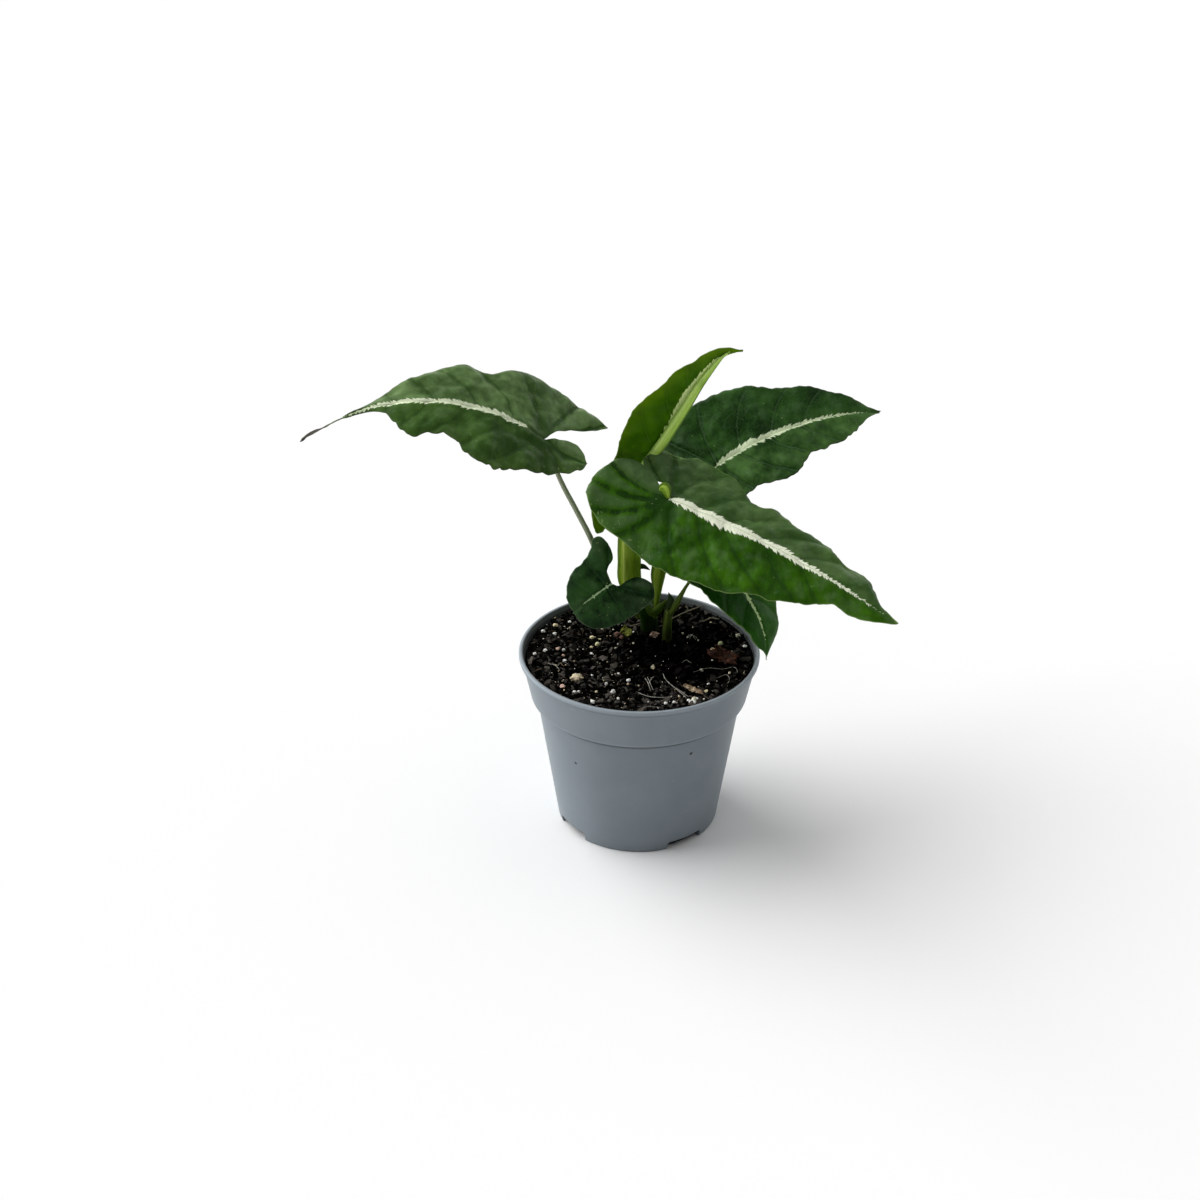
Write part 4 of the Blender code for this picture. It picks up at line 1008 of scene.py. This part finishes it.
def potPaint():
    paint = Paint("growPotPlastic")
    paint.shader.inputs["Specular IOR Level"].default_value = 0.22
    place = paint.place()
    cloudy = paint.cloud(place, 22.0, 4.0, 0.6)
    streaky = paint.cloud(paint.scaled(place, (60.0, 60.0, 6.0)), 1.0, 3.0)
    colour = paint.mix(shade(121, 131, 138), shade(130, 139, 146), paint.ease(cloudy, 0.3, 0.7))
    colour = paint.mix(colour, shade(120, 130, 137), paint.ease(streaky, 0.5, 0.75) * 0.35)
    dust = paint.cloud(place, 560.0, 2.0, 0.6)
    colour = paint.mix(colour, shade(58, 58, 58), paint.ease(dust, 0.795, 0.81) * 0.7)
    flat = paint.scaled(place, (1.0, 1.0, 0.0))
    radius = paint.node("ShaderNodeVectorMath", {"operation": "LENGTH"}, {0: flat}, "Value")
    rise = paint.node("ShaderNodeSeparateXYZ", sockets={0: place}, output="Z")

    def ringAt(height, core, reach, share):
        # a ring round the pot that fades from core to reach, all in millimetres
        return paint.ease((rise - height * mm).size(), core * mm, reach * mm, share, 0.0)

    # painted shade in a ring just under the collar's step, and a painted highlight along the step's edge
    underStepShade = ringAt(pot["collarBottom"] - 1.4, 0.6, 1.9, 0.7)
    stepHighlight = ringAt(pot["collarBottom"] + 0.8, 0.2, 0.7, 0.14)
    # painted shade in a thin ring under the lip, and a painted highlight on the lip's bead
    underLipShade = ringAt(pot["height"] - pot["lipHeight"] - 0.5, 0.3, 0.75, 0.8)
    beadHighlight = (paint.ease(rise, (pot["height"] - 2.0) * mm, (pot["height"] - 1.0) * mm)
            * paint.ease(radius, (pot["rimRadius"] - 1.7) * mm, (pot["rimRadius"] - 0.8) * mm))
    inside = paint.ease(radius - 0.24 * rise, 35.6 * mm, 36.2 * mm, 0.6, 0.0)
    inside = inside * paint.ease(rise, 80 * mm, 86 * mm)
    # painted contact shade where the foot meets the floor
    footContactShade = paint.ease(rise, 0.3 * mm, 1.0 * mm, 0.6, 0.0)
    # the painted shade rings darken, then the painted highlights lighten
    colour = paint.mix(colour, shade(58, 64, 68), underStepShade + underLipShade + footContactShade)
    colour = paint.mix(colour, shade(160, 170, 178), beadHighlight * 0.6 + stepHighlight)
    for degrees, height, width in pot["specks"]:
        reach, angle = pot["speckReach"] + height * pot["wallSlope"], math.radians(degrees)
        spot = [reach * math.cos(angle) * mm, reach * math.sin(angle) * mm, height * mm]
        away = paint.node("ShaderNodeVectorMath", {"operation": "DISTANCE"}, {0: place, 1: spot}, "Value")
        dark = paint.ease(away, width * 0.5 * mm, width * mm, 0.85, 0.0)
        colour = paint.mix(colour, shade(40, 42, 42), dark)
    colour = paint.mix(colour, shade(62, 60, 52), inside * paint.ease(cloudy, 0.2, 0.6, 0.6, 1.0))
    scuff = paint.cloud(paint.scaled(place, (90.0, 90.0, 420.0)), 1.0, 2.0, 0.7)
    colour = paint.mix(colour, shade(166, 174, 180), paint.ease(scuff, 0.68, 0.76) * 0.3)
    skin = paint.cloud(place, 1500.0, 2.0)
    return paint.finish(
        Base_Color=colour,
        Roughness=paint.ease(cloudy, 0.3, 0.7, 0.4, 0.5) + paint.ease(scuff, 0.6, 0.8) * 0.1,
        Normal=paint.bump(skin + streaky * 0.4, 0.03 * mm, 0.5))


# potting mix

# bank is how far the mix rises towards the pot's wall, between two distances from the middle
mix = dict(top=89.0, relief=0.8, rough=0.9, rings=70, steps=200, gap=0.25,
           bank=2.2, bankStart=38.0, bankEnd=55.0, crumbReach=56.0)


def mixHeight(x, y):
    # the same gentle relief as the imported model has, in millimetres
    wave = math.sin(x * 0.26 + 1.3) * math.cos(y * 0.21 - 0.6) + 0.6 * math.sin(x * 0.12 - y * 0.33 + 2.0)
    return mix["top"] + mix["relief"] * wave * 0.6


def bankLift(x, y):
    # how far the mix rises towards the wall of the pot
    share = (math.hypot(x, y) - mix["bankStart"]) / (mix["bankEnd"] - mix["bankStart"])
    share = min(1.0, max(0.0, share))
    return mix["bank"] * share * share * (3 - 2 * share)


def makeMix(material):
    # its sides follow the inside of the pot at a small gap
    wall, gap, top = pot["wall"], mix["gap"], mix["top"]
    pad, ring, base, step = pot["padRadius"], pot["footInnerRadius"], pot["baseRadius"], pot["collarBottom"]
    collarLow, foot, bend = pot["collarBottomRadius"], pot["footHeight"] + wall + gap, step + pot["innerStep"]
    slope = (pot["collarTopRadius"] - collarLow) / (pot["height"] - pot["lipHeight"] - bend)
    edge = collarLow - wall - gap + slope * (top - bend)
    side = [(0, wall + gap), (pad - wall - gap, wall + gap), (pad + gap, foot), (ring - gap, foot),
            (ring + wall + gap, wall + gap), (base - wall - 1.0, wall + gap), (base - wall - gap, wall + 1.0),
            (pot["bodyTopRadius"] - wall - gap, step + 1.0), (collarLow - wall - gap - 0.1, step + 1.8),
            (edge - 0.05, top - 1.0)]
    rings = [(edge * (1 - step / mix["rings"]), top) for step in range(mix["rings"] + 1)]
    path = [np.array(point, float) for point in side + rings]
    piece = turned("pottingMix", path, mix["steps"], material)
    for vert in piece.data.vertices:
        x, y, z = vert.co / mm
        if z > top - 0.1:
            clods = (noise.noise(Vector((x * 0.22, y * 0.22, 1.0))) * 0.9
                     + noise.noise(Vector((x * 0.6, y * 0.6, 5.0))) * 0.7
                     + noise.noise(Vector((x * 1.4, y * 1.4, 9.0))) * 0.4)
            fade = min(1.0, (edge - math.hypot(x, y)) / 2)
            level = mixHeight(x, y) * fade + top * (1 - fade)
            vert.co.z = (level + mix["rough"] * clods + bankLift(x, y)) * mm
    piece.data.update()
    return piece


# crumbs on the mix

# small and large are widths, and the sizes of the crumbs lie between them. lift is how far they
# stand out of the mix, and lean crowds them towards the front left.
crumbs = {
    "peatCrumbs": dict(
        count=3900, small=1.0, large=2.8, flat=0.6, long=1.35, seed=3, rough=0.6, lift=0.1, lean=0.0,
        roundness=1, colours=[(3, 3, 2), (9, 9, 8), (30, 29, 28), (92, 89, 86)], dull=0.85,
        paint="peatPaint", slot="potting_mix"),
    "barkChips": dict(
        count=1700, small=1.6, large=4.6, flat=0.34, long=1.9, seed=8, rough=0.9, lift=0.3, lean=0.0,
        roundness=1, colours=[(3, 3, 2), (12, 11, 10), (34, 32, 30), (96, 90, 84)], dull=0.75,
        paint="barkPaint", slot="bark"),
    "perliteGrains": dict(
        count=150, small=0.5, large=1.6, flat=0.85, long=1.1, seed=21, rough=0.4, lift=0.7, lean=9.0,
        roundness=2, colours=[(206, 184, 142), (232, 224, 200), (248, 248, 244)], dull=0.85,
        paint="perlitePaint", slot="perlite"),
    "fibreBits": dict(
        count=110, small=0.4, large=0.85, flat=0.4, long=9.0, seed=34, rough=0.12, lift=1.1, lean=0.0,
        roundness=1, colours=[(30, 24, 19), (70, 56, 44), (124, 106, 84)], dull=0.9,
        paint="fibrePaint", slot="bark"),
}
crumbForm = dict(
    leastUpward=0.3, lowestPlace=85.0,  # only faces that look up and lie high enough carry crumbs
    leastCrowding=0.05, smallest=0.45, tilt=0.75, grain=900.0,
)


def crumbFlow():
    # points on the top of the mix, a ball on each, squashed, turned and roughened
    tree = bpy.data.node_groups.new("scatterCrumbs", "GeometryNodeTree")
    face = tree.interface
    kinds = dict(Surface="Geometry", Density="Float", Smallest="Float", Largest="Float", Flatness="Float",
                 Length="Float", Roughening="Float", Lift="Float", Lean="Float", Seed="Int",
                 Roundness="Int", Material="Material")
    for label, kind in kinds.items():
        face.new_socket(label, in_out="INPUT", socket_type="NodeSocket" + kind)
    face.new_socket("Crumbs", in_out="OUTPUT", socket_type="NodeSocketGeometry")
    given = tree.nodes.new("NodeGroupInput").outputs

    def node(kind, settings=None, sockets=None):
        made = tree.nodes.new(kind)
        for name, value in (settings or {}).items():
            setattr(made, name, value)
        for key, value in (sockets or {}).items():
            socket = firstSocket(made.inputs, key)
            if isinstance(value, bpy.types.NodeSocket):
                tree.links.new(value, socket)
            else:
                socket.default_value = value
        return made.outputs

    def number(operation, first, second):
        return node("ShaderNodeMath", {"operation": operation}, {0: first, 1: second})[0]

    def chance(low, high, later):
        # a random number for each point, from the seed and a shift of it
        return node("FunctionNodeRandomValue", {"data_type": "FLOAT"}, {
            "Min_001": low, "Max_001": high, "Seed": number("ADD", given["Seed"], later)})[1]

    def vectors(operation, first, second):
        key = "Scale" if operation == "SCALE" else 1
        return node("ShaderNodeVectorMath", {"operation": operation}, {0: first, key: second})[0]

    upward = node("ShaderNodeSeparateXYZ", sockets={0: node("GeometryNodeInputNormal")[0]})[2]
    spot = node("ShaderNodeSeparateXYZ", sockets={0: node("GeometryNodeInputPosition")[0]})
    onTop = node("FunctionNodeBooleanMath", {"operation": "AND"}, {
        0: number("GREATER_THAN", upward, crumbForm["leastUpward"]),
        1: number("GREATER_THAN", spot[2], crumbForm["lowestPlace"] * mm)})[0]
    frontLeft = number("MULTIPLY", number("ADD", spot[0], spot[1]), number("MULTIPLY", given["Lean"], -1.0))
    crowding = number("MAXIMUM", number("ADD", frontLeft, 1.0), crumbForm["leastCrowding"])
    points = node("GeometryNodeDistributePointsOnFaces", sockets={
        "Mesh": given["Surface"], "Selection": onTop, "Seed": given["Seed"],
        "Density": number("MULTIPLY", given["Density"], crowding)})
    ball = node("GeometryNodeMeshIcoSphere", sockets={"Radius": 0.5, "Subdivisions": given["Roundness"]})[0]
    size = number("MULTIPLY", chance(given["Smallest"], given["Largest"], 0),
                  number("POWER", chance(crumbForm["smallest"], 1.0, 5), 1.5))
    sizes = node("ShaderNodeCombineXYZ", sockets={
        "X": number("MULTIPLY", size, given["Length"]), "Y": size,
        "Z": number("MULTIPLY", size, given["Flatness"])})[0]
    tilt = crumbForm["tilt"]
    turn = node("FunctionNodeRandomValue", {"data_type": "FLOAT_VECTOR"}, {
        "Min": (-tilt, -tilt, 0.0), "Max": (tilt, tilt, 6.28), "Seed": number("ADD", given["Seed"], 9)})[0]
    placed = node("GeometryNodeInstanceOnPoints", sockets={
        "Points": points["Points"], "Instance": ball, "Rotation": turn, "Scale": sizes})[0]
    tinted = node("GeometryNodeStoreNamedAttribute", {"data_type": "FLOAT", "domain": "INSTANCE"}, {
        "Geometry": placed, "Name": "crumbTint", "Value": chance(0.0, 1.0, 17)})[0]
    real = node("GeometryNodeRealizeInstances", sockets={"Geometry": tinted})[0]
    wild = node("ShaderNodeTexNoise", {"noise_dimensions": "3D"}, {
        "Scale": crumbForm["grain"], "Detail": 2.0})["Color"]
    shift = vectors("SCALE", vectors("SUBTRACT", wild, (0.5, 0.5, 0.5)), given["Roughening"])
    lifted = vectors("ADD", shift, node("ShaderNodeCombineXYZ", sockets={"Z": given["Lift"]})[0])
    rough = node("GeometryNodeSetPosition", sockets={"Geometry": real, "Offset": lifted})[0]
    done = node("GeometryNodeSetMaterial", sockets={"Geometry": rough, "Material": given["Material"]})[0]
    tree.links.new(done, tree.nodes.new("NodeGroupOutput").inputs[0])
    return tree


def scatter(name, tree, surface, crumb, material):
    piece = bpy.data.objects.new(name, surface.data.copy())
    bpy.context.scene.collection.objects.link(piece)
    modifier = piece.modifiers.new("scatter", "NODES")
    modifier.node_group = tree
    area = math.pi * (mix["crumbReach"] * mm) ** 2
    values = {
        "Density": crumb["count"] / area, "Smallest": crumb["small"] * mm, "Largest": crumb["large"] * mm,
        "Flatness": crumb["flat"], "Length": crumb["long"], "Roughening": crumb["rough"] * mm,
        "Lift": crumb["lift"] * mm, "Lean": crumb["lean"], "Seed": crumb["seed"],
        "Roundness": crumb["roundness"], "Material": material}
    for item in tree.interface.items_tree:
        if item.item_type == "SOCKET" and item.in_out == "INPUT" and item.name in values:
            modifier[item.identifier] = values[item.name]
    settle(piece)
    for vert in piece.data.vertices:
        # nothing pokes through the wall
        reach = math.hypot(vert.co.x, vert.co.y)
        if reach > mix["crumbReach"] * mm:
            vert.co.xy *= mix["crumbReach"] * mm / reach
    piece.data.materials.clear()
    piece.data.materials.append(material)
    return piece


def leafShadowPatch(paint, place):
    # painted shadow: the mix is nearly black round the stems, where the leaves above shade it
    away = paint.node("ShaderNodeVectorMath", {"operation": "DISTANCE"}, {
        0: paint.scaled(place, (1.0, 1.0, 0.0)), 1: (21 * mm, 2 * mm, 0.0)}, "Value")
    ragged = away + (paint.cloud(place, 60.0, 2.0) - 0.5) * 20 * mm
    return paint.ease(ragged, 20 * mm, 46 * mm, 0.92, 0.0)


def dullGrain(paint, grain, roughness):
    return paint.ease(grain, 0.3, 0.7, roughness - 0.1, roughness)


def crumbPaint(crumb):
    paint = Paint(crumb["paint"])
    tint = paint.attribute("crumbTint")
    place = paint.place()
    grain = paint.cloud(place, 700.0, 3.0, 0.6)
    last = len(crumb["colours"]) - 1
    stops = [(index / last, shade(*colour)) for index, colour in enumerate(crumb["colours"])]
    colour = paint.node("ShaderNodeValToRGB", {"stops": stops}, {"Fac": tint + (grain - 0.5) * 0.5})
    # all but the perlite get the painted leaf shadow round the stems
    if crumb["slot"] != "perlite":
        colour = paint.mix(colour, shade(2, 2, 2), leafShadowPatch(paint, place))
    paint.shader.inputs["Specular IOR Level"].default_value = 0.0
    return paint.finish(Base_Color=colour, Roughness=dullGrain(paint, grain, crumb["dull"]),
                        Normal=paint.bump(grain, 0.25 * mm, 0.8))


def mixPaint():
    paint = Paint("pottingMixBase")
    place = paint.place()
    grain = paint.cloud(place, 420.0, 4.0, 0.65)
    broad = paint.cloud(place, 70.0, 2.0)
    colour = paint.mix(shade(3, 3, 2), shade(16, 14, 12), paint.ease(grain, 0.45, 0.8))
    colour = paint.mix(colour, shade(3, 3, 3), paint.ease(broad, 0.45, 0.65) * 0.5)
    paint.shader.inputs["Specular IOR Level"].default_value = 0.0
    return paint.finish(Base_Color=colour, Roughness=0.95, Normal=paint.bump(grain, 0.8 * mm, 1.0))


# stones and scraps that have a node of their own

# lumps is how uneven a stone is, and a shift below 0 brings it forward, in millimetres
stones = {
    "pebble": dict(colours=[(150, 134, 106), (204, 188, 158), (238, 228, 204)], lumps=0.3,
                   shift=-1.4, slot="pebble_stone"),
    "pumice_bit": dict(colours=[(96, 76, 64), (176, 148, 130), (212, 190, 174)], lumps=0.5),
    "perlite_left": dict(colours=[(176, 172, 124), (212, 208, 164), (232, 230, 204)], lumps=0.14),
    "perlite_front": dict(colours=[(208, 206, 202), (234, 233, 229), (246, 246, 243)], lumps=0.25),
    "perlite_right": dict(colours=[(190, 184, 150), (220, 214, 186), (236, 233, 214)], lumps=0.2),
    "perlite_side": dict(colours=[(150, 154, 112), (190, 192, 150), (220, 220, 190)], lumps=0.2),
}
# place, size and curl are in millimetres, turn and lean in radians; torn is how ragged the edge is
scraps = {
    "dry_leaf_scrap": dict(
        place=(42.5, -2.5, 91.0), size=(15.0, 7.5), turn=-0.8, curl=2.8, seed=5, lean=0.4, torn=0.9,
        colours=[(10, 6, 3), (40, 20, 11), (104, 60, 38)], slot="dry_leaf"),
    "yellow_leaf_scrap": dict(
        place=(-6.4, 21.5, 91.6), size=(6.6, 3.8), turn=-0.75, curl=1.4, seed=9, lean=0.9, torn=0.8,
        colours=[(40, 44, 12), (92, 98, 34), (140, 136, 66)], slot="yellow_leaf"),
    "bark_sliver": dict(
        place=(26.5, -33.5, 91.2), size=(11.0, 2.8), turn=-0.72, curl=0.6, seed=14, lean=0.4, torn=0.6,
        colours=[(44, 34, 26), (134, 112, 88), (226, 212, 184)], slot="bark"),
}
scrapThickness = 0.3


def lumpPaint(name, colours, roughness=0.85):
    paint = Paint(name)
    paint.shader.inputs["Specular IOR Level"].default_value = 0.1
    place = paint.place()
    grain = paint.cloud(place, 620.0, 4.0, 0.65)
    last = len(colours) - 1
    stops = [(0.25 + 0.5 * index / last, shade(*colour)) for index, colour in enumerate(colours)]
    colour = paint.node("ShaderNodeValToRGB", {"stops": stops}, {"Fac": grain})
    return paint.finish(Base_Color=colour, Roughness=dullGrain(paint, grain, roughness),
                        Normal=paint.bump(grain, 0.3 * mm, 0.8))


def makeStone(name, stone):
    low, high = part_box(name)
    centre, size = (low + high) / 2, (high - low) / 2
    shape = bmesh.new()
    bmesh.ops.create_icosphere(shape, subdivisions=4, radius=1.0)
    for vert in shape.verts:
        point = vert.co * 1.6 + Vector((len(name), size.x * 900, 0))
        lump = 1 + stone["lumps"] * (1.6 * noise.noise(point) + 0.6 * noise.noise(point * 3.1))
        vert.co = Vector([centre[axis] + vert.co[axis] * size[axis] * lump for axis in range(3)])
        vert.co.y += stone.get("shift", 0.0) * mm
        vert.co.z += (bankLift(centre.x / mm, centre.y / mm) - 0.1) * mm
    return toObject(name + "Look", shape, lumpPaint(name + "Paint", stone["colours"]))


def scrapPlace(scrap, u, v):
    # u and v run from -1 to 1 over the scrap; the answer is in millimetres
    seed = scrap["seed"]
    tear = 1 + scrap["torn"] * noise.noise(Vector((u * 2.2, v * 2.2, seed)))
    tear += 0.3 * scrap["torn"] * noise.noise(Vector((u * 6.0, v * 6.0, seed)))
    reach = scrap["size"][0] / 2 * u * (1 - 0.25 * v * v) * tear
    width = scrap["size"][1] / 2 * v * (1 - 0.45 * u * u) * tear
    wave = 0.35 * noise.noise(Vector((reach * 0.5, width * 0.5, seed + 3.0)))
    height = scrap["curl"] * (0.7 * u * u + 0.3 * v * v) + wave * min(1.0, scrap["curl"])
    x, y, z = scrap["place"]
    height += bankLift(x, y) + width * math.sin(scrap["lean"])
    width *= math.cos(scrap["lean"])
    turn = scrap["turn"]
    return (x + reach * math.cos(turn) - width * math.sin(turn),
            y + reach * math.sin(turn) + width * math.cos(turn),
            z + height)


def makeScrap(name, scrap, columns=34, rows=22):
    shape = bmesh.new()
    grid = []
    for row in range(rows + 1):
        for column in range(columns + 1):
            place = scrapPlace(scrap, column / columns * 2 - 1, row / rows * 2 - 1)
            grid.append(shape.verts.new([part * mm for part in place]))
    for row in range(rows):
        for column in range(columns):
            low = row * (columns + 1) + column
            shape.faces.new([grid[low], grid[low + 1], grid[low + columns + 2], grid[low + columns + 1]])
    piece = toObject(name + "Look", shape, lumpPaint(name + "Paint", scrap["colours"]))
    thicken = piece.modifiers.new("thickness", "SOLIDIFY")
    thicken.thickness = scrapThickness * mm
    settle(piece)
    piece.data.shade_smooth()
    return piece


# root hairs, straws and single grains, visual only

hairs = [
    dict(path=[(3.0, -22.5, 91.2), (4.5, -28.5, 92.0), (5.8, -35.0, 91.4)], radius=0.19),
    dict(path=[(7.4, -21.0, 91.2), (5.9, -25.3, 92.2), (4.6, -30.0, 91.6)], radius=0.19),
    dict(path=[(4.2, -21.5, 91.2), (5.4, -28.5, 92.4), (7.0, -34.0, 91.4)], radius=0.16),
    dict(path=[(-0.3, -36.0, 91.0), (4.5, -40.4, 91.9), (9.5, -41.8, 92.1), (16.0, -39.8, 91.2)],
         radius=0.21),
    dict(path=[(11.8, -17.6, 91.0), (13.1, -25.0, 92.0), (16.6, -31.6, 92.2), (23.0, -40.4, 91.4)],
         radius=0.19),
    dict(path=[(17.0, -31.0, 91.6), (20.0, -36.0, 92.4), (24.0, -40.0, 91.8)], radius=0.20),
    dict(path=[(21.0, -7.3, 91.0), (23.3, -5.8, 91.8), (26.0, -7.2, 91.1)], radius=0.12),
    dict(path=[(27.0, -15.0, 90.6), (34.0, -12.5, 91.4), (41.0, -13.0, 91.2), (47.0, -11.5, 91.4),
               (48.0, -18.0, 91.6), (43.0, -24.5, 91.0)], radius=0.12),
    dict(path=[(38.0, -21.0, 90.8), (43.0, -19.5, 91.8), (44.0, -25.0, 91.4), (40.0, -28.0, 90.8)],
         radius=0.14),
    dict(path=[(-45.0, -10.0, 91.4), (-41.0, -13.7, 92.4), (-38.8, -17.4, 91.6)], radius=0.17),
    dict(path=[(-41.0, -13.5, 91.6), (-37.6, -9.7, 92.2), (-34.6, -10.6, 91.2)], radius=0.14),
    dict(path=[(0.5, -52.5, 92.2), (4.5, -51.4, 92.9), (9.0, -50.4, 92.2)], radius=0.14),
    dict(path=[(24.2, 18.0, 90.8), (26.7, 18.8, 92.0), (29.4, 17.4, 91.0)], radius=0.16),
    dict(path=[(25.4, 16.4, 90.8), (26.5, 18.6, 92.2), (27.2, 21.4, 91.2)], radius=0.16),
    dict(path=[(24.8, 20.6, 90.8), (26.6, 18.8, 92.1), (28.6, 16.0, 90.9)], radius=0.14),
]
straws = [
    dict(path=[(15.7, 37.4, 90.5), (24.1, 42.7, 92.0), (33.0, 47.2, 93.4)], radius=0.42),
    dict(path=[(-5.0, 29.6, 90.6), (0.4, 30.4, 91.6), (5.4, 33.0, 91.5)], radius=0.42),
    dict(path=[(33.0, 34.0, 91.6), (37.0, 35.6, 92.6), (41.0, 33.6, 93.0)], radius=0.45),
]
# place on the mix, width and colour of single grains
looseGrains = [
    (-43, 20, 2.1, "white"), (-49, 21, 2.0, "white"), (-36, 33, 1.7, "white"), (-43, 27, 2.7, "cream"),
    (-24, 20, 2.3, "cream"), (-20, 17, 1.7, "cream"), (-24, 8, 2.2, "cream"), (-24, 2, 2.0, "white"),
    (-38, 6, 1.7, "white"), (-38, 1, 1.6, "pink"), (-37, -4, 2.0, "white"), (-47, 2, 2.2, "white"),
    (-52, -2, 1.8, "white"), (-41, 6, 1.9, "pink"), (-5, -23, 2.3, "white"), (-10, -17, 1.4, "white"),
    (-16, -26, 1.7, "white"), (-37, -32, 2.8, "pink"), (-31, -36, 1.7, "white"), (-29, -35, 1.5, "white"),
    (-22, -46, 2.6, "white"), (26, -45, 3.3, "white"), (24, -42, 1.7, "white"), (28, -41, 1.6, "white"),
    (33, -34, 2.6, "cream"), (34, -26, 1.5, "white"), (31, -12, 2.0, "grey"), (37, 8, 2.8, "cream"),
    (50, 19, 2.6, "grey"), (53, 8, 2.0, "white"), (13, -46, 1.7, "white"), (17, -45, 1.6, "white"),
    (7, -10, 2.2, "grey"), (-11, 21.5, 3.6, "rust"), (-9, 18, 2.2, "rust"), (13, 28, 1.6, "white"),
    (22, 24, 1.4, "grey"),
]
grainColours = dict(white=(240, 240, 236), cream=(222, 208, 168), pink=(222, 186, 168), grey=(168, 164, 146),
                    rust=(88, 54, 42))


def makeGrains(name, material):
    shape = bmesh.new()
    tints = shape.verts.layers.float_color.new("grainColour")
    for index, (x, y, width, colour) in enumerate(looseGrains):
        base = Vector((x, y, mixHeight(x, y) + bankLift(x, y) + 0.9)) * mm
        grain = bmesh.ops.create_icosphere(shape, subdivisions=3, radius=width * mm / 2)
        for vert in grain["verts"]:
            point = vert.co / (width * mm) * 3.2 + Vector((index * 7.0, 0.0, 0.0))
            vert.co *= 1 + 0.45 * noise.noise(point)
            vert.co.z *= 0.75
            vert.co += base
            vert[tints] = shade(*grainColours[colour])
    return toObject(name, shape, material)


def grainPaint():
    paint = Paint("grainPaint")
    place = paint.place()
    tint = paint.node("ShaderNodeAttribute", {"attribute_name": "grainColour"}, output="Color")
    pores = paint.cloud(place, 900.0, 3.0, 0.6)
    colour = paint.mix(tint, shade(128, 118, 98), paint.ease(pores, 0.55, 0.72) * 0.6)
    return paint.finish(Base_Color=colour, Roughness=paint.ease(pores, 0.3, 0.7, 0.75, 0.9),
                        Normal=paint.bump(pores, 0.3 * mm, 0.8))


def makeFibres(name, fibres, material, wander=0.15, sides=8, samples=26):
    shape = bmesh.new()
    for fibre in fibres:
        line = evenly(catmull(fibre["path"]), samples)
        tangents = np.gradient(line, axis=0)
        tangents /= np.linalg.norm(tangents, axis=1)[:, None]
        rings = []
        for index, (centre, tangent) in enumerate(zip(line, tangents)):
            side = np.cross(tangent, (0.0, 0.0, 1.0))
            side /= np.linalg.norm(side)
            other = np.cross(side, tangent)
            thin = fibre["radius"] * (0.55 + 0.45 * math.sin(math.pi * (index + 1) / (samples + 1)))
            near = Vector(centre) * 0.5
            jitter = Vector([noise.noise(near + Vector((0, 0, shift))) for shift in (0, 7, 19)]) * wander
            ring = []
            for turn in np.linspace(0, 2 * math.pi, sides, endpoint=False):
                place = centre + side * thin * math.cos(turn) + other * thin * math.sin(turn)
                ring.append(shape.verts.new(Vector(place + np.array(jitter)) * mm))
            rings.append(ring)
        for first, second in zip(rings, rings[1:]):
            for step in range(sides):
                after = (step + 1) % sides
                shape.faces.new([first[step], first[after], second[after], second[step]])
        shape.faces.new(rings[0])
        shape.faces.new(rings[-1])
    bmesh.ops.recalc_face_normals(shape, faces=shape.faces)
    return toObject(name, shape, material)


# floor, then everything in turn

def makeFloor():
    paint = Paint("studioFloor")
    material = paint.finish(Base_Color=(*studio["floorColour"], 1.0), Roughness=0.95)
    paint.shader.inputs["Specular IOR Level"].default_value = 0.0
    shape = bmesh.new()
    bmesh.ops.create_grid(shape, x_segments=1, y_segments=1, size=studio["floorSize"] / 2)
    floor = toObject("floor", shape, material, smooth=False)


def main():
    setUpStudio()
    makeFloor()
    print("studio ready")

    belongs(makePot(potPaint()), "grow_pot_plastic", "pot")
    print("pot turned")

    mixBody = belongs(makeMix(mixPaint()), "potting_mix", "potting_mix")
    crumbTree = crumbFlow()
    for name, crumb in crumbs.items():
        belongs(scatter(name, crumbTree, mixBody, crumb, crumbPaint(crumb)), crumb["slot"])
    print("potting mix filled")

    for name, stone in stones.items():
        belongs(makeStone(name, stone), stone.get("slot", "perlite"), name)
    for name, scrap in scraps.items():
        belongs(makeScrap(name, scrap), scrap["slot"], name)
    belongs(makeGrains("looseGrains", grainPaint()), "perlite")
    hairPaint = lumpPaint("hairPaint", [(60, 58, 52), (146, 143, 134), (222, 220, 212)])
    belongs(makeFibres("rootHairs", hairs, hairPaint), "bark")
    strawPaint = lumpPaint("strawPaint", [(60, 56, 44), (98, 92, 76), (142, 134, 114)])
    belongs(makeFibres("straw", straws, strawPaint), "bark")
    print("stones, scraps and roots laid")

    stalkPaints = {name: stalkPaint(name + "Paint", look) for name, look in stalkLooks.items()}
    for name, stalk in stalks.items():
        piece = makeStalk(name + "Look", stalk, stalkPaints[stalk["look"]])
        if "partOf" in stalk:
            belongs(piece, "leaf_young")
        else:
            belongs(piece, "stem_dark" if name == "main_stem" else "stalk_green", name)
    print("stalks grown")

    for name, leaf in leaves.items():
        slot = "leaf_young" if name == "blade_upright" else "leaf_dark"
        belongs(makeBlade(name + "Look", leaf, leafPaint(name + "Paint", leaf)), slot, name)
    print("leaves grown")


main()
